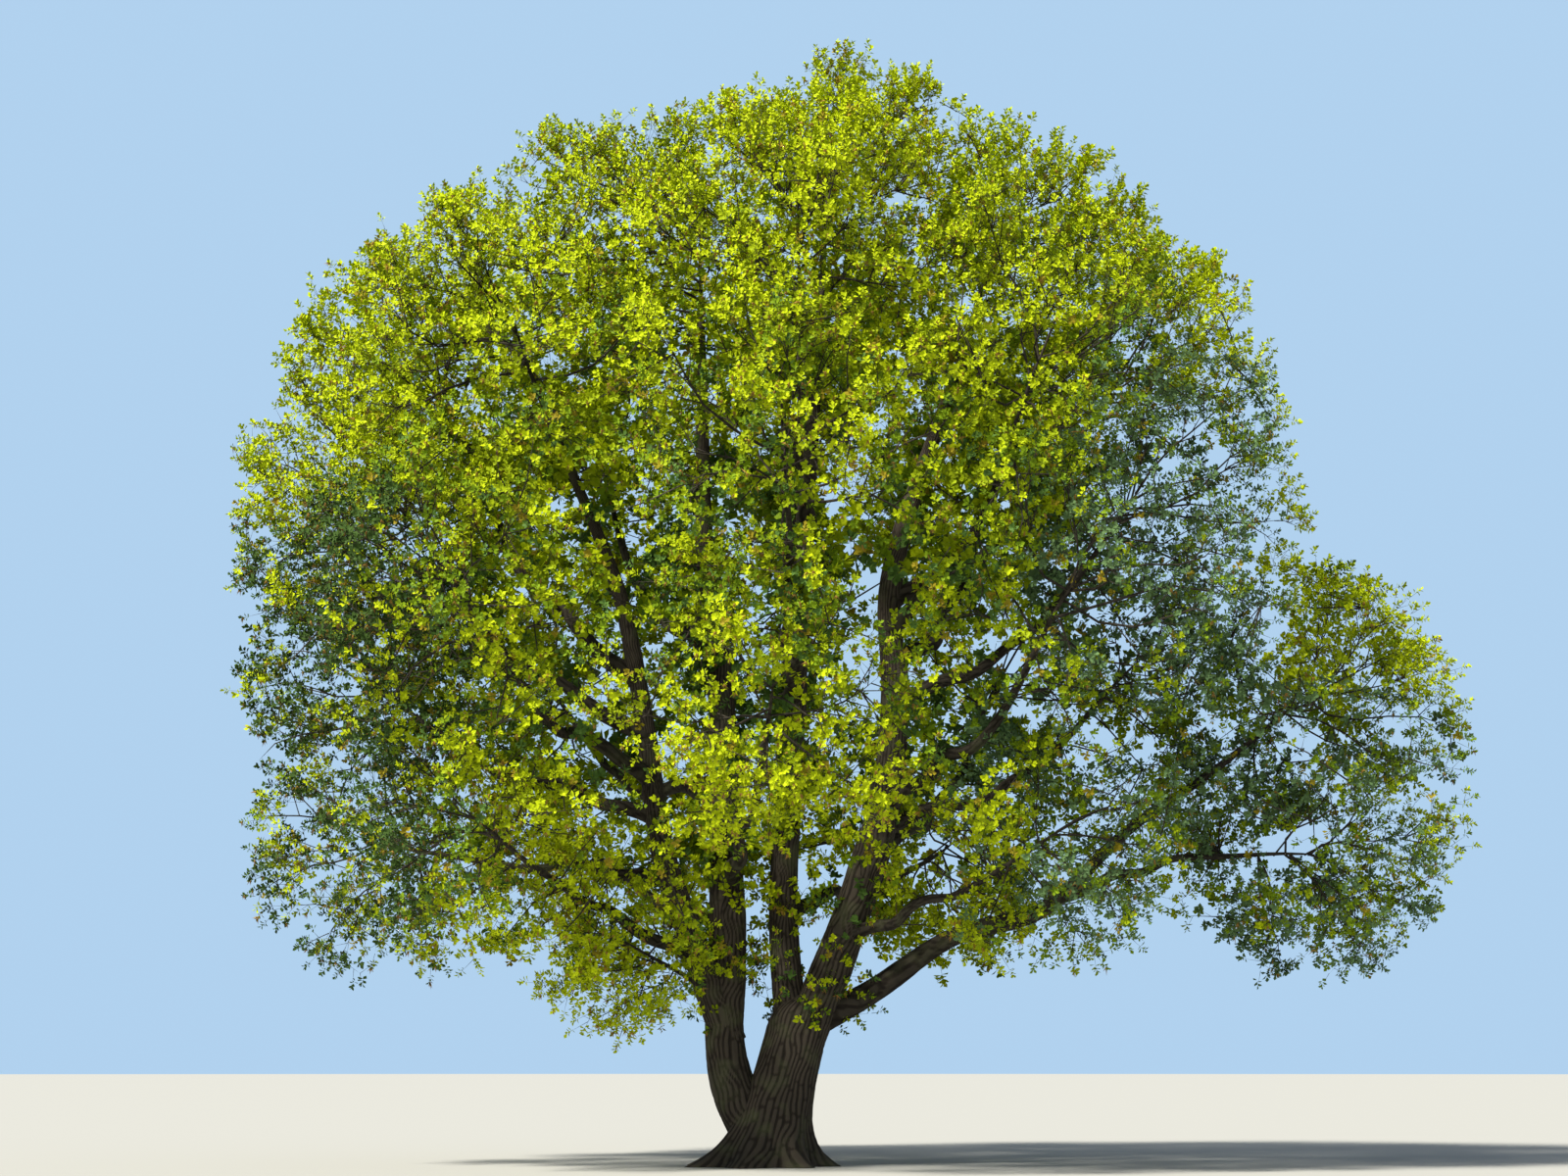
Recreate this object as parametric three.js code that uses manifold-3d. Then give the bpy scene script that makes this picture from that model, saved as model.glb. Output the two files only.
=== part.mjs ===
// A broad oak in spring leaf, several stems from one bole, as it stands in the open.
// The bole has a root flare and a flat cut at ground level. Four stems rise from it, boughs leave the
// stems, and each stem or bough ends in one mass of foliage: a stem, twigs and leaves fused together.
// Each leaf here is larger than life and stands for a leafy spray.
// Millimetres, +Z up, +X to the right of the tree's front, the origin on the cut at ground level.
import * as THREE from "three";
import { mergeVertices } from "three/addons/utils/BufferGeometryUtils.js";
import Module from "manifold-3d";

const wasm = await Module();
wasm.setup();

const METRE = 1000;
const CLEARANCE = 0.35; // between neighbouring solids, measured at the corners of a faceted limb
const FLATNESS = 0.1; // faces closer to one plane than this are joined after a cut
const SAME_CORNER = 0.001; // corners closer than this are one
const UP = new THREE.Vector3(0, 0, 1);
const GOLDEN_ANGLE = Math.PI * (3 - Math.sqrt(5));

const metres = (x, y, z) => new THREE.Vector3(x, y, z).multiplyScalar(METRE);

// The bole leans a little to the right and ends in a rounded fork.
const BOLE = {
  sides: 21,
  ringHeights: [0, 0.12, 0.3, 0.55, 0.9, 1.6, 2.2, 2.45, 2.6, 2.65].map((height) => height * METRE),
  radius: 0.49 * METRE, // at breast height
  crotchHeight: 2.2 * METRE, // above this the bole rounds over between its stems
  roundingDepth: 0.85, // share of the squared radius that is gone at the fork
  forkHeight: 2.65 * METRE,
  forkShift: 0.75 * METRE, // how far right of the origin the fork stands
  flareRadius: 0.6 * METRE, // what the root flare adds at the ground
  flareHeight: 0.42 * METRE, // height over which the flare dies away to a third
  rootLobes: 7,
  lobeDepth: 0.17, // share of the radius by which the root lobes stand out at the ground
};

// The stems, each along a smooth line through a few points, in metres, from inside its parent to its tip.
const STEMS = [
  {
    name: "left_stem",
    footRadius: 0.36,
    tipRadius: 0.085,
    line: [
      [0, 0, 0.3],
      [-0.5, 0.05, 1.6],
      [-0.52, 0.1, 4],
      [-0.62, 0.1, 7.2],
      [-0.9, 0.25, 10],
      [-0.95, 0.3, 12.5],
    ],
  },
  {
    name: "left_fork_stem",
    footRadius: 0.25,
    tipRadius: 0.07,
    line: [
      [-0.48, 0.05, 1.9],
      [-1, -0.15, 3.3],
      [-1.55, -0.3, 5],
      [-1.8, -0.35, 6.8],
      [-2.25, -0.5, 9],
      [-3, -1.3, 10.9],
    ],
  },
  {
    name: "centre_stem",
    footRadius: 0.26,
    tipRadius: 0.08,
    line: [
      [0.52, 0.05, 2],
      [0.38, 0.12, 3.9],
      [0.5, 0.2, 6.4],
      [0.68, 0.2, 9.4],
      [0.95, 0.1, 13.4],
    ],
  },
  {
    name: "right_stem",
    footRadius: 0.36,
    tipRadius: 0.085,
    line: [
      [0.44, 0, 1.42],
      [1.3, -0.05, 3.5],
      [1.95, -0.1, 5.6],
      [2.15, 0, 7.3],
      [2.1, 0.15, 9.2],
      [3.1, 0.35, 12.5],
    ],
  },
];
const STEM_SIDES = 8;
const STEM_STEPS = 9;
const STEM_TAPER = 0.9; // below 1 the taper quickens towards the tip

// The masses of foliage: centre and radius in metres. A mass is borne by the tip of a stem, by a bough of
// its own that leaves a limb at a height, or, as shoots are, straight by the side of a stem at a height.
// A bough's rise is how strongly it sweeps upward at its tip.
const onTip = (name, tipOf, centre, radius) => ({ name, tipOf, centre, radius });
const onBough = (name, from, at, rise, centre, radius) => ({ name, from, at, rise, centre, radius });
const onSide = (name, sideOf, at, centre, radius) => ({ name, sideOf, at, centre, radius });
const MASSES = [
  onTip("crown_top", "centre_stem", [1.6, -0.1, 15.2], 2.9),
  onTip("top_right", "right_stem", [4.1, 1, 14.4], 2.9),
  onTip("top_left", "left_stem", [-2.3, -0.6, 14.1], 2.8),
  onTip("front_upper_left", "left_fork_stem", [-3.8, -3.4, 12], 2.9),
  onBough("front_top", "centre_stem", 10.2, 0.5, [0.6, -3.9, 13.6], 2.8),
  onBough("front_upper_right", "right_stem", 8.4, 0.5, [4.2, -3.4, 12], 2.8),
  onBough("front_middle", "centre_stem", 7.4, 0.4, [0.4, -5.2, 10.2], 3),
  onBough("front_right", "right_stem", 5.6, 0.35, [4.6, -4.1, 8.5], 2.9),
  onBough("front_left", "left_fork_stem", 6, 0.35, [-4.4, -4.1, 8.6], 2.9),
  onBough("front_low_middle", "left_stem", 4.4, 0.3, [0.2, -5.4, 6.8], 2.5),
  onBough("front_low_left", "left_fork_stem", 3.2, 0.1, [-4.1, -3.5, 5.1], 2.4),
  onBough("front_low_right", "right_stem", 3.5, 0.1, [4.3, -3.4, 4.9], 2.2),
  onBough("right_shoulder", "right_stem", 8.9, 0.5, [5.8, 0.6, 12.6], 2.8),
  onBough("right_upper_side", "right_stem", 7.2, 0.4, [5.8, -1, 10.3], 2.8),
  onBough("right_side", "right_stem", 5.2, 0.35, [6, 0.8, 7.9], 2.5),
  onBough("right_spread", "bole", 2.1, 0.1, [8.8, 0.2, 7.4], 2.5),
  onBough("right_low_spread", "right_spread_bough", 4.2, -0.15, [8.5, -0.6, 4.8], 2.3),
  onBough("left_shoulder", "left_fork_stem", 7.6, 0.5, [-5.2, 0.8, 12.5], 2.9),
  onBough("left_upper_side", "left_fork_stem", 6.7, 0.4, [-5.7, -0.8, 10.3], 2.8),
  onBough("left_side", "left_fork_stem", 5.4, 0.25, [-6.1, 0.7, 7.6], 2.7),
  onBough("left_low_side", "left_fork_stem", 4.4, 0.05, [-5.9, -0.6, 5], 2.4),
  onBough("back_top", "centre_stem", 9.4, 0.5, [0.3, 4.1, 13.7], 2.8),
  onBough("back_upper_right", "right_stem", 7.8, 0.5, [4, 4, 11.6], 2.9),
  onBough("back_upper_left", "left_stem", 8, 0.5, [-2.9, 4.3, 12], 2.9),
  onBough("back_middle", "centre_stem", 6.4, 0.4, [0.4, 5.3, 10], 3),
  onBough("back_right", "right_stem", 4.8, 0.35, [4.1, 4.3, 8.1], 3),
  onBough("back_left", "left_stem", 5.6, 0.35, [-3.7, 4.4, 8.1], 3),
  onBough("back_low_left", "left_stem", 3.6, 0.1, [-3, 4.2, 5.3], 2.6),
  onBough("back_low_right", "centre_stem", 3.9, 0.1, [3.2, 4.3, 5.3], 2.6),
  onSide("stem_shoots", "left_fork_stem", 2.7, [-2, -1.8, 3.4], 1.6),
];

// A bough sets off outward, partly along its parent and partly straight at its mass, then sweeps to it.
const BOUGH = {
  sides: 6,
  steps: 4,
  setsOff: { outward: 0.9, alongParent: 0.45, straight: 0.4 },
  handles: [0.36, 0.34], // of the sweep, as shares of the bough's length
  wobble: 0.035, // how far it strays to either side, as a share of its length
  wobbleTurns: [1.4, 1.7], // sideways and up
  reach: 0.72, // it ends this share of the mass's radius short of its middle
  tipRadius: 0.024, // share of the mass's radius
  taper: 0.018, // what each metre of length adds to the radius at the foot
  taperPower: 1.1,
};

// The stem of a mass goes on from its bearer's tip and bears the twigs.
const MASS_STEM = {
  sides: 4,
  endRadius: 0.05 * METRE,
  overshoot: 0.12, // share of the mass's radius by which it passes the middle
};

const TWIG = {
  sides: 3,
  perMetre: 2.2, // twigs for each metre of a mass's radius
  footRadius: 0.038 * METRE,
  tipRadius: 0.03 * METRE,
  feet: [0.25, 0.85], // stretch of the stem from which twigs spring
  reach: [0.6, 0.78], // shares of the mass's radius
  shrink: 0.08, // how much a twig is drawn in at each try
  shortest: 0.55,
  outwardBias: 0.5, // how strongly twigs turn away from the middle of the crown
  testPlaces: [0.25, 0.4, 0.55, 0.7, 0.85, 1],
};
const CROWN_MIDDLE = metres(0.6, 0, 8.2);

const LEAF = {
  length: 0.79, // share of the mass's radius
  width: 0.78, // share of the length
  thickness: 0.02, // share of the length
  waist: 0.56, // where it is widest, from its root
  places: [0.6, 0.78, 0.95], // along the twig
  sizes: [1, 0.8, 0.6], // tried in turn where the space is tight
  lean: [0.25, 0.85], // how far it leans towards the twig's tip
  swell: 1.06, // how far past the mass's radius a leaf may reach
};

const LIMB_MARGIN = 0.05 * METRE; // kept between a twig's skin and any limb
const BALLS_PER_LIMB = 50; // strung along a limb to keep twigs off it
const BALLS_PER_MASS_STEM = 20;
const CELL_MARGIN = 0.05 * METRE; // kept to each side of the plane between two masses
const GROUND_MARGIN = 0.3 * METRE; // kept between the ground and the lowest leaf
const SEED_STEP = 101; // between the seeds of two masses

const BARK = { color: 0x3b3128, roughness: 0.95, metalness: 0 };
const FOLIAGE = { color: 0x87960f, roughness: 0.65, metalness: 0 };

// A stream of numbers from 0 to 1 that is the same on every run.
function seededNumbers(seed) {
  let state = Math.imul(seed, 2654435761) >>> 0;
  return () => {
    state = (Math.imul(state, 1664525) + 1013904223) >>> 0;
    return state / 4294967296;
  };
}

const between = ([low, high], share) => low + (high - low) * share;

// Closed geometry with only position left, as a solid.
function solidOf(geometry) {
  geometry.deleteAttribute("normal");
  geometry.deleteAttribute("uv");
  const merged = mergeVertices(geometry, SAME_CORNER);
  return new wasm.Manifold(
    new wasm.Mesh({
      numProp: 3,
      vertProperties: merged.attributes.position.array,
      triVerts: new Uint32Array(merged.index.array),
    }),
  );
}

function geometryOf(solid) {
  const mesh = solid.getMesh();
  const geometry = new THREE.BufferGeometry();
  geometry.setAttribute("position", new THREE.BufferAttribute(mesh.vertProperties, mesh.numProp));
  geometry.setIndex(new THREE.BufferAttribute(mesh.triVerts, 1));
  const faceted = geometry.toNonIndexed();
  faceted.computeVertexNormals();
  return faceted;
}

// The largest piece of a solid, so that scraps left by a cut are dropped and sealed hollows are filled.
function largestPiece(solid) {
  const pieces = solid.decompose();
  return pieces.reduce((best, piece) => (piece.volume() > best.volume() ? piece : best)).simplify(FLATNESS);
}

// A cylinder whose rings are placed one by one: place gives a corner from its ring and its two shares.
function shapedCylinder(sides, steps, place) {
  const cylinder = new THREE.CylinderGeometry(1, 1, 1, sides, steps);
  const position = cylinder.attributes.position;
  for (let i = 0; i < position.count; i++) {
    const ring = Math.round((position.getY(i) + 0.5) * steps);
    const corner = place(ring, position.getZ(i), position.getX(i));
    position.setXYZ(i, corner.x, corner.y, corner.z);
  }
  return solidOf(cylinder);
}

// A round, tapering limb along a curve.
function limbSolid(curve, radiusAt, sides, steps) {
  const frames = curve.computeFrenetFrames(steps, false);
  return shapedCylinder(sides, steps, (ring, forward, aside) => {
    const radius = radiusAt(ring / steps);
    return curve
      .getPointAt(ring / steps)
      .addScaledVector(frames.normals[ring], radius * forward)
      .addScaledVector(frames.binormals[ring], radius * aside);
  });
}

// The bole is a stack of level rings, so that its foot is a flat cut at ground level.
// Above the crotch it rounds over, and there its grown copy is also taller by the growth.
function boleMiddle(height) {
  return new THREE.Vector3((BOLE.forkShift * height) / BOLE.forkHeight, 0, height);
}

function boleRounding(height) {
  return Math.max(0, (height - BOLE.crotchHeight) / (BOLE.forkHeight - BOLE.crotchHeight));
}

function boleRadius(height, angle) {
  const fading = Math.exp(-height / BOLE.flareHeight);
  const lobes = BOLE.lobeDepth * fading * Math.cos(BOLE.rootLobes * angle);
  const rounded = Math.sqrt(1 - BOLE.roundingDepth * boleRounding(height) ** 2);
  return (BOLE.radius + BOLE.flareRadius * fading) * rounded * (1 + lobes);
}

function boleSolid(growth) {
  return shapedCylinder(BOLE.sides, BOLE.ringHeights.length - 1, (ring, right, back) => {
    const height = BOLE.ringHeights[ring];
    const radius = boleRadius(height, Math.atan2(back, right)) + growth;
    const corner = boleMiddle(height);
    corner.x += radius * right;
    corner.y += radius * back;
    corner.z += growth * boleRounding(height);
    return corner;
  });
}

// A bough's line: a sweep from its parent to its mass, with a slow wobble to either side.
class BoughLine extends THREE.Curve {
  constructor(foot, setsOff, tip, arrives, seed) {
    super();
    const length = foot.distanceTo(tip);
    const random = seededNumbers(seed);
    this.sweep = new THREE.CubicBezierCurve3(
      foot,
      foot.clone().addScaledVector(setsOff, BOUGH.handles[0] * length),
      tip.clone().addScaledVector(arrives, -BOUGH.handles[1] * length),
      tip,
    );
    this.wobble = BOUGH.wobble * length;
    this.phases = [random(), random()];
    this.aside = new THREE.Vector3().crossVectors(tip.clone().sub(foot), UP).normalize();
  }

  getPoint(t) {
    const strength = this.wobble * Math.sin(Math.PI * t) ** 2;
    const [aside, up] = this.phases.map(
      (phase, i) => strength * Math.sin(2 * Math.PI * (BOUGH.wobbleTurns[i] * t + phase)),
    );
    return this.sweep.getPoint(t).addScaledVector(this.aside, aside).addScaledVector(UP, up);
  }
}

// How far along a rising limb's line, as a share, it passes a height above the ground.
function shareAtHeight(curve, height) {
  let low = 0;
  let high = 1;
  while (high - low > 1e-9) {
    const middle = (low + high) / 2;
    if (curve.getPoint(middle).z < height) low = middle;
    else high = middle;
  }
  return low;
}

// Each limb is cut clear of the limbs before it. A grown copy of it serves to cut the ones after it.
const limbs = new Map();

function addLimb(name, curve, radiusAt, sides, steps) {
  let solid = limbSolid(curve, radiusAt, sides, steps);
  for (const earlier of limbs.values()) {
    solid = solid.subtract(earlier.grown);
  }
  const grown = limbSolid(curve, (t) => radiusAt(t) + CLEARANCE, sides, steps);
  limbs.set(name, { curve, radiusAt, grown, solid: largestPiece(solid) });
}

limbs.set("bole", {
  curve: new THREE.LineCurve3(boleMiddle(0), boleMiddle(BOLE.forkHeight)),
  radiusAt: () => BOLE.radius,
  grown: boleSolid(CLEARANCE),
  solid: boleSolid(0).simplify(FLATNESS),
});

for (const { name, footRadius, tipRadius, line } of STEMS) {
  const curve = new THREE.CatmullRomCurve3(line.map((point) => metres(...point)));
  const radiusAt = (t) => METRE * between([tipRadius, footRadius], (1 - t) ** STEM_TAPER);
  addLimb(name, curve, radiusAt, STEM_SIDES, STEM_STEPS);
}

MASSES.forEach((mass, index) => {
  if (!mass.from) return;
  const parent = limbs.get(mass.from).curve;
  const share = shareAtHeight(parent, mass.at * METRE);
  const foot = parent.getPoint(share);
  const centre = metres(...mass.centre);
  const straight = centre.clone().sub(foot).normalize();
  const setsOff = new THREE.Vector3(straight.x, straight.y, 0)
    .setLength(BOUGH.setsOff.outward)
    .addScaledVector(parent.getTangent(share), BOUGH.setsOff.alongParent)
    .addScaledVector(straight, BOUGH.setsOff.straight)
    .normalize();
  const arrives = straight.clone().addScaledVector(UP, mass.rise).normalize();
  const tip = centre.clone().addScaledVector(arrives, -BOUGH.reach * mass.radius * METRE);
  const tipRadius = BOUGH.tipRadius * mass.radius * METRE;
  const taper = BOUGH.taper * foot.distanceTo(tip);
  const radiusAt = (t) => tipRadius + taper * (1 - t) ** BOUGH.taperPower;
  const curve = new BoughLine(foot, setsOff, tip, arrives, index + 1);
  addLimb(mass.name + "_bough", curve, radiusAt, BOUGH.sides, BOUGH.steps);
});

const limbWall = wasm.Manifold.union([...limbs.values()].map((limb) => limb.grown));

// The stem of each mass goes straight on from its bearer's tip, to just past the middle of the mass.
// That of a mass of shoots starts inside the limb that bears it, and is cut clear of it.
function massStem(mass) {
  const pastMiddle = MASS_STEM.overshoot * mass.radius * METRE;
  let start, along, length, footRadius;
  if (mass.sideOf) {
    const bearer = limbs.get(mass.sideOf).curve;
    start = bearer.getPoint(shareAtHeight(bearer, mass.at * METRE));
    along = metres(...mass.centre).sub(start);
    length = along.length() + pastMiddle;
    along.normalize();
    footRadius = MASS_STEM.endRadius;
  } else {
    const bearer = limbs.get(mass.tipOf ?? mass.name + "_bough");
    along = bearer.curve.getTangentAt(1);
    start = bearer.curve.getPoint(1).addScaledVector(along, CLEARANCE);
    length = BOUGH.reach * mass.radius * METRE + pastMiddle;
    footRadius = bearer.radiusAt(1);
  }
  const curve = new THREE.LineCurve3(start, start.clone().addScaledVector(along, length));
  const radiusAt = (t) => between([footRadius, MASS_STEM.endRadius], t);
  const solid = largestPiece(limbSolid(curve, radiusAt, MASS_STEM.sides, 1).subtract(limbWall));
  const grown = limbSolid(curve, (t) => radiusAt(t) + LIMB_MARGIN, MASS_STEM.sides, 1);
  return { curve, radiusAt, solid, grown };
}

const massStems = MASSES.map(massStem);

// Balls strung along every limb and every mass's stem, which twigs stay clear of.
const obstacles = [];
function addObstacles({ curve, radiusAt }, mass, steps) {
  for (let i = 0; i <= steps; i++) {
    obstacles.push({ point: curve.getPointAt(i / steps), radius: radiusAt(i / steps), mass });
  }
}
limbs.forEach((limb) => addObstacles(limb, null, BALLS_PER_LIMB));
massStems.forEach((stem, index) => addObstacles(stem, index, BALLS_PER_MASS_STEM));

function clearOfLimbs(point, own, room) {
  return obstacles.every((o) => o.mass === own || point.distanceTo(o.point) > o.radius + room);
}

// Each mass keeps to its own ball, cut from its neighbours' balls by the plane where they cross.
const balls = MASSES.map((mass) => ({ centre: metres(...mass.centre), radius: mass.radius * METRE }));

function inOwnSpace(point, own, swell) {
  const ball = balls[own];
  const depth = point.distanceToSquared(ball.centre) - ball.radius ** 2;
  if (depth > (swell ** 2 - 1) * ball.radius ** 2 || point.z < GROUND_MARGIN) return false;
  return balls.every((other, index) => {
    const margin = 2 * CELL_MARGIN * ball.centre.distanceTo(other.centre);
    return index === own || depth < point.distanceToSquared(other.centre) - other.radius ** 2 - margin;
  });
}

// The twigs of a mass: spread evenly round its middle, turned a little away from the crown's middle.
// A twig is drawn in until it ends inside the mass's own space, and one that comes near a limb is left out.
function twigsOf(own, random) {
  const { centre, radius } = balls[own];
  const outward = centre.clone().sub(CROWN_MIDDLE).setLength(TWIG.outwardBias);
  const stem = massStems[own].curve;
  const count = Math.round((TWIG.perMetre * radius) / METRE);
  const twist = 2 * Math.PI * random();
  const twigs = [];
  for (let k = 0; k < count; k++) {
    const level = 1 - (2 * (k + 0.5)) / count;
    const round = Math.sqrt(1 - level * level);
    const turn = k * GOLDEN_ANGLE + twist;
    const way = new THREE.Vector3(round * Math.cos(turn), round * Math.sin(turn), level);
    way.add(outward).normalize();
    const forward = 0.5 + 0.5 * way.dot(stem.getTangent(0));
    const foot = stem.getPoint(between(TWIG.feet, forward));
    const reach = radius * between(TWIG.reach, random());
    for (let share = 1; share > TWIG.shortest; share -= TWIG.shrink) {
      const twig = new THREE.LineCurve3(foot, centre.clone().addScaledVector(way, share * reach));
      const points = TWIG.testPlaces.map((place) => twig.getPoint(place));
      const room = TWIG.footRadius + LIMB_MARGIN;
      if (points.every((point) => inOwnSpace(point, own, 1) && clearOfLimbs(point, own, room))) {
        twigs.push(twig);
        break;
      }
    }
  }
  return twigs;
}

// A leaf is a flat diamond of eight faces, widest past its middle, with a low ridge on either side.
function leafGeometry(root, along, face, length) {
  const across = new THREE.Vector3().crossVectors(face, along).normalize();
  const up = new THREE.Vector3().crossVectors(along, across);
  const diamond = new THREE.OctahedronGeometry(1);
  const position = diamond.attributes.position;
  for (let i = 0; i < position.count; i++) {
    const isTip = position.getX(i) > 0.5;
    const isRoot = position.getX(i) < -0.5;
    const forward = isTip ? 1 : isRoot ? 0 : LEAF.waist;
    const corner = root
      .clone()
      .addScaledVector(along, forward * length)
      .addScaledVector(across, 0.5 * position.getY(i) * LEAF.width * length)
      .addScaledVector(up, 0.5 * position.getZ(i) * LEAF.thickness * length);
    position.setXYZ(i, corner.x, corner.y, corner.z);
  }
  return diamond;
}

function leafIsClear(geometry, solid, own, neighbours) {
  const position = geometry.attributes.position;
  const corner = new THREE.Vector3();
  for (let i = 0; i < position.count; i++) {
    if (!inOwnSpace(corner.fromBufferAttribute(position, i), own, LEAF.swell)) return false;
  }
  const otherStems = massStems.filter((_, index) => index !== own).map((stem) => stem.grown);
  const walls = [limbWall, ...otherStems, ...neighbours];
  return walls.every((wall) => solid.intersect(wall).isEmpty());
}

// The leaves of one twig leave it by its flat sides, each a third of a turn on from the one before.
// A leaf that would touch something takes another side or a smaller size, or is left out.
function leavesOf(twig, own, random, neighbours) {
  const way = twig.getTangent(0);
  const frames = twig.computeFrenetFrames(1, false);
  const leaves = [];
  LEAF.places.forEach((place, index) => {
    const root = twig.getPoint(place);
    const lean = between(LEAF.lean, random());
    for (let tries = 0; tries < TWIG.sides * LEAF.sizes.length; tries++) {
      const angle = (2 * Math.PI * (index + tries + 0.5)) / TWIG.sides;
      const along = way
        .clone()
        .multiplyScalar(lean)
        .addScaledVector(frames.normals[0], Math.cos(angle))
        .addScaledVector(frames.binormals[0], Math.sin(angle))
        .normalize();
      const length = LEAF.sizes[Math.floor(tries / TWIG.sides)] * LEAF.length * balls[own].radius;
      const geometry = leafGeometry(root, along, way, length);
      const solid = solidOf(geometry);
      if (leafIsClear(geometry, solid, own, [...neighbours, ...leaves])) {
        leaves.push(solid);
        break;
      }
    }
  });
  return leaves;
}

function foliageSolid(own) {
  const random = seededNumbers(SEED_STEP * (own + 1));
  const radiusAt = (t) => between([TWIG.footRadius, TWIG.tipRadius], t);
  const stem = massStems[own].solid;
  const twigs = twigsOf(own, random);
  const wood = twigs.map((twig) => limbSolid(twig, radiusAt, TWIG.sides, 1));
  const leaves = [];
  twigs.forEach((twig, index) => {
    const otherTwigs = wood.filter((_, other) => other !== index);
    leaves.push(...leavesOf(twig, own, random, [stem, ...otherTwigs, ...leaves]));
  });
  return largestPiece(wasm.Manifold.union([stem, ...wood, ...leaves]));
}

const tree = new THREE.Group();

function addNode(name, solid, finish) {
  const mesh = new THREE.Mesh(geometryOf(solid), new THREE.MeshStandardMaterial(finish));
  mesh.name = name;
  tree.add(mesh);
}

limbs.forEach((limb, name) => addNode(name, limb.solid, BARK));
MASSES.forEach((mass, index) => addNode(mass.name + "_foliage", foliageSolid(index), FOLIAGE));

export default tree;
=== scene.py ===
import math
from math import inf

import bmesh
import bpy
import numpy as np
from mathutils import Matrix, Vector


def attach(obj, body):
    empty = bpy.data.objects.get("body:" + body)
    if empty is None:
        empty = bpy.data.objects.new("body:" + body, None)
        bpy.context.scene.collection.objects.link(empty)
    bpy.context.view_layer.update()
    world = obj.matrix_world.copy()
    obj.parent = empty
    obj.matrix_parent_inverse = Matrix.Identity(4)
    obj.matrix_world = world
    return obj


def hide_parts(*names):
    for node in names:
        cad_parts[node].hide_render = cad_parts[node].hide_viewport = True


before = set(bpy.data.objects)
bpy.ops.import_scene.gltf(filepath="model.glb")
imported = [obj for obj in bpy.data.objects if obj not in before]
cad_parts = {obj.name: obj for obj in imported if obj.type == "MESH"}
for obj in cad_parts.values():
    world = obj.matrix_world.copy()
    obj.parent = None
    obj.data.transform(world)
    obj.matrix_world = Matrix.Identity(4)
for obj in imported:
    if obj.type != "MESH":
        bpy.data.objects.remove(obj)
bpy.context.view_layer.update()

# The studio: a plain pale floor, level with the cut under the tree, in front of a plain pale backdrop.
# The camera stands 50 m in front of the tree at eye height and looks a little up, as for the photograph.
# A broad warm sun comes from the upper left, in front of the tree, and the backdrop fills the shadows.
FRAME_WIDTH = 1600  # of the photograph, in pixels
FRAME_HEIGHT = 1200
FOCAL_LENGTH = 3220  # in the same pixels
SENSOR_WIDTH = 36
CAMERA_PLACE = np.array([0.38, -50.0, 1.6])
CAMERA_TILT = math.radians(8.55)
SUN_FROM = (-0.52, -0.5, 0.78)
SUN_STRENGTH = 7.5
SUN_COLOUR = (1.0, 0.95, 0.82)
SUN_BREADTH = math.radians(8)
FILL_COLOUR = (0.56, 0.68, 0.82, 1)
FILL_STRENGTH = 0.44
BACKDROP_COLOUR = (0.44, 0.64, 0.86, 1)
FLOOR_COLOUR = (0.42, 0.42, 0.41, 1)
FLOOR_RADIUS = 400

scene = bpy.context.scene
scene.view_settings.view_transform = "Standard"
camera = bpy.data.objects.new("camera", bpy.data.cameras.new("camera"))
scene.collection.objects.link(camera)
camera.location = CAMERA_PLACE
camera.rotation_euler = (math.pi / 2 + CAMERA_TILT, 0, 0)
camera.data.sensor_width = SENSOR_WIDTH
camera.data.lens = SENSOR_WIDTH * FOCAL_LENGTH / FRAME_WIDTH
camera.data.clip_end = 2 * FLOOR_RADIUS
scene.camera = camera

sun = bpy.data.objects.new("sun", bpy.data.lights.new("sun", "SUN"))
scene.collection.objects.link(sun)
sun.rotation_euler = Vector(SUN_FROM).to_track_quat("Z", "Y").to_euler()
sun.data.energy = SUN_STRENGTH
sun.data.angle = SUN_BREADTH
sun.data.color = SUN_COLOUR


def wire(tree, node_type, inputs=None, **settings):
    """Adds a shader node. An input is a value, or the socket that feeds it."""
    node = tree.nodes.new(node_type)
    for key, value in settings.items():
        setattr(node, key, value)
    for key, value in (inputs or {}).items():
        if isinstance(value, bpy.types.NodeSocket):
            tree.links.new(value, node.inputs[key])
        else:
            node.inputs[key].default_value = value
    return node


def shader(name, **values):
    """A new material with values set on its Principled shader. Returns it, that shader and its nodes."""
    material = bpy.data.materials.new(name)
    material.use_nodes = True
    principled = material.node_tree.nodes["Principled BSDF"]
    for socket, value in values.items():
        principled.inputs[socket.replace("_", " ")].default_value = value
    return material, principled, material.node_tree


world = bpy.data.worlds.new("backdrop")
scene.world = world
world.use_nodes = True
sky = world.node_tree
fill = sky.nodes["Background"]
fill.inputs["Color"].default_value = FILL_COLOUR
fill.inputs["Strength"].default_value = FILL_STRENGTH
backdrop = wire(sky, "ShaderNodeBackground", {"Color": BACKDROP_COLOUR})
seen_directly = wire(sky, "ShaderNodeLightPath").outputs["Is Camera Ray"]
either = wire(sky, "ShaderNodeMixShader", {0: seen_directly, 1: fill.outputs[0], 2: backdrop.outputs[0]})
sky.links.new(either.outputs[0], sky.nodes["World Output"].inputs["Surface"])

bm = bmesh.new()
bmesh.ops.create_circle(bm, cap_ends=True, segments=96, radius=FLOOR_RADIUS)
floor_mesh = bpy.data.meshes.new("floor")
bm.to_mesh(floor_mesh)
bm.free()
floor_mesh.materials.append(shader("floor", Base_Color=FLOOR_COLOUR, Roughness=0.9)[0])
floor = bpy.data.objects.new("floor", floor_mesh)
scene.collection.objects.link(floor)

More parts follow.
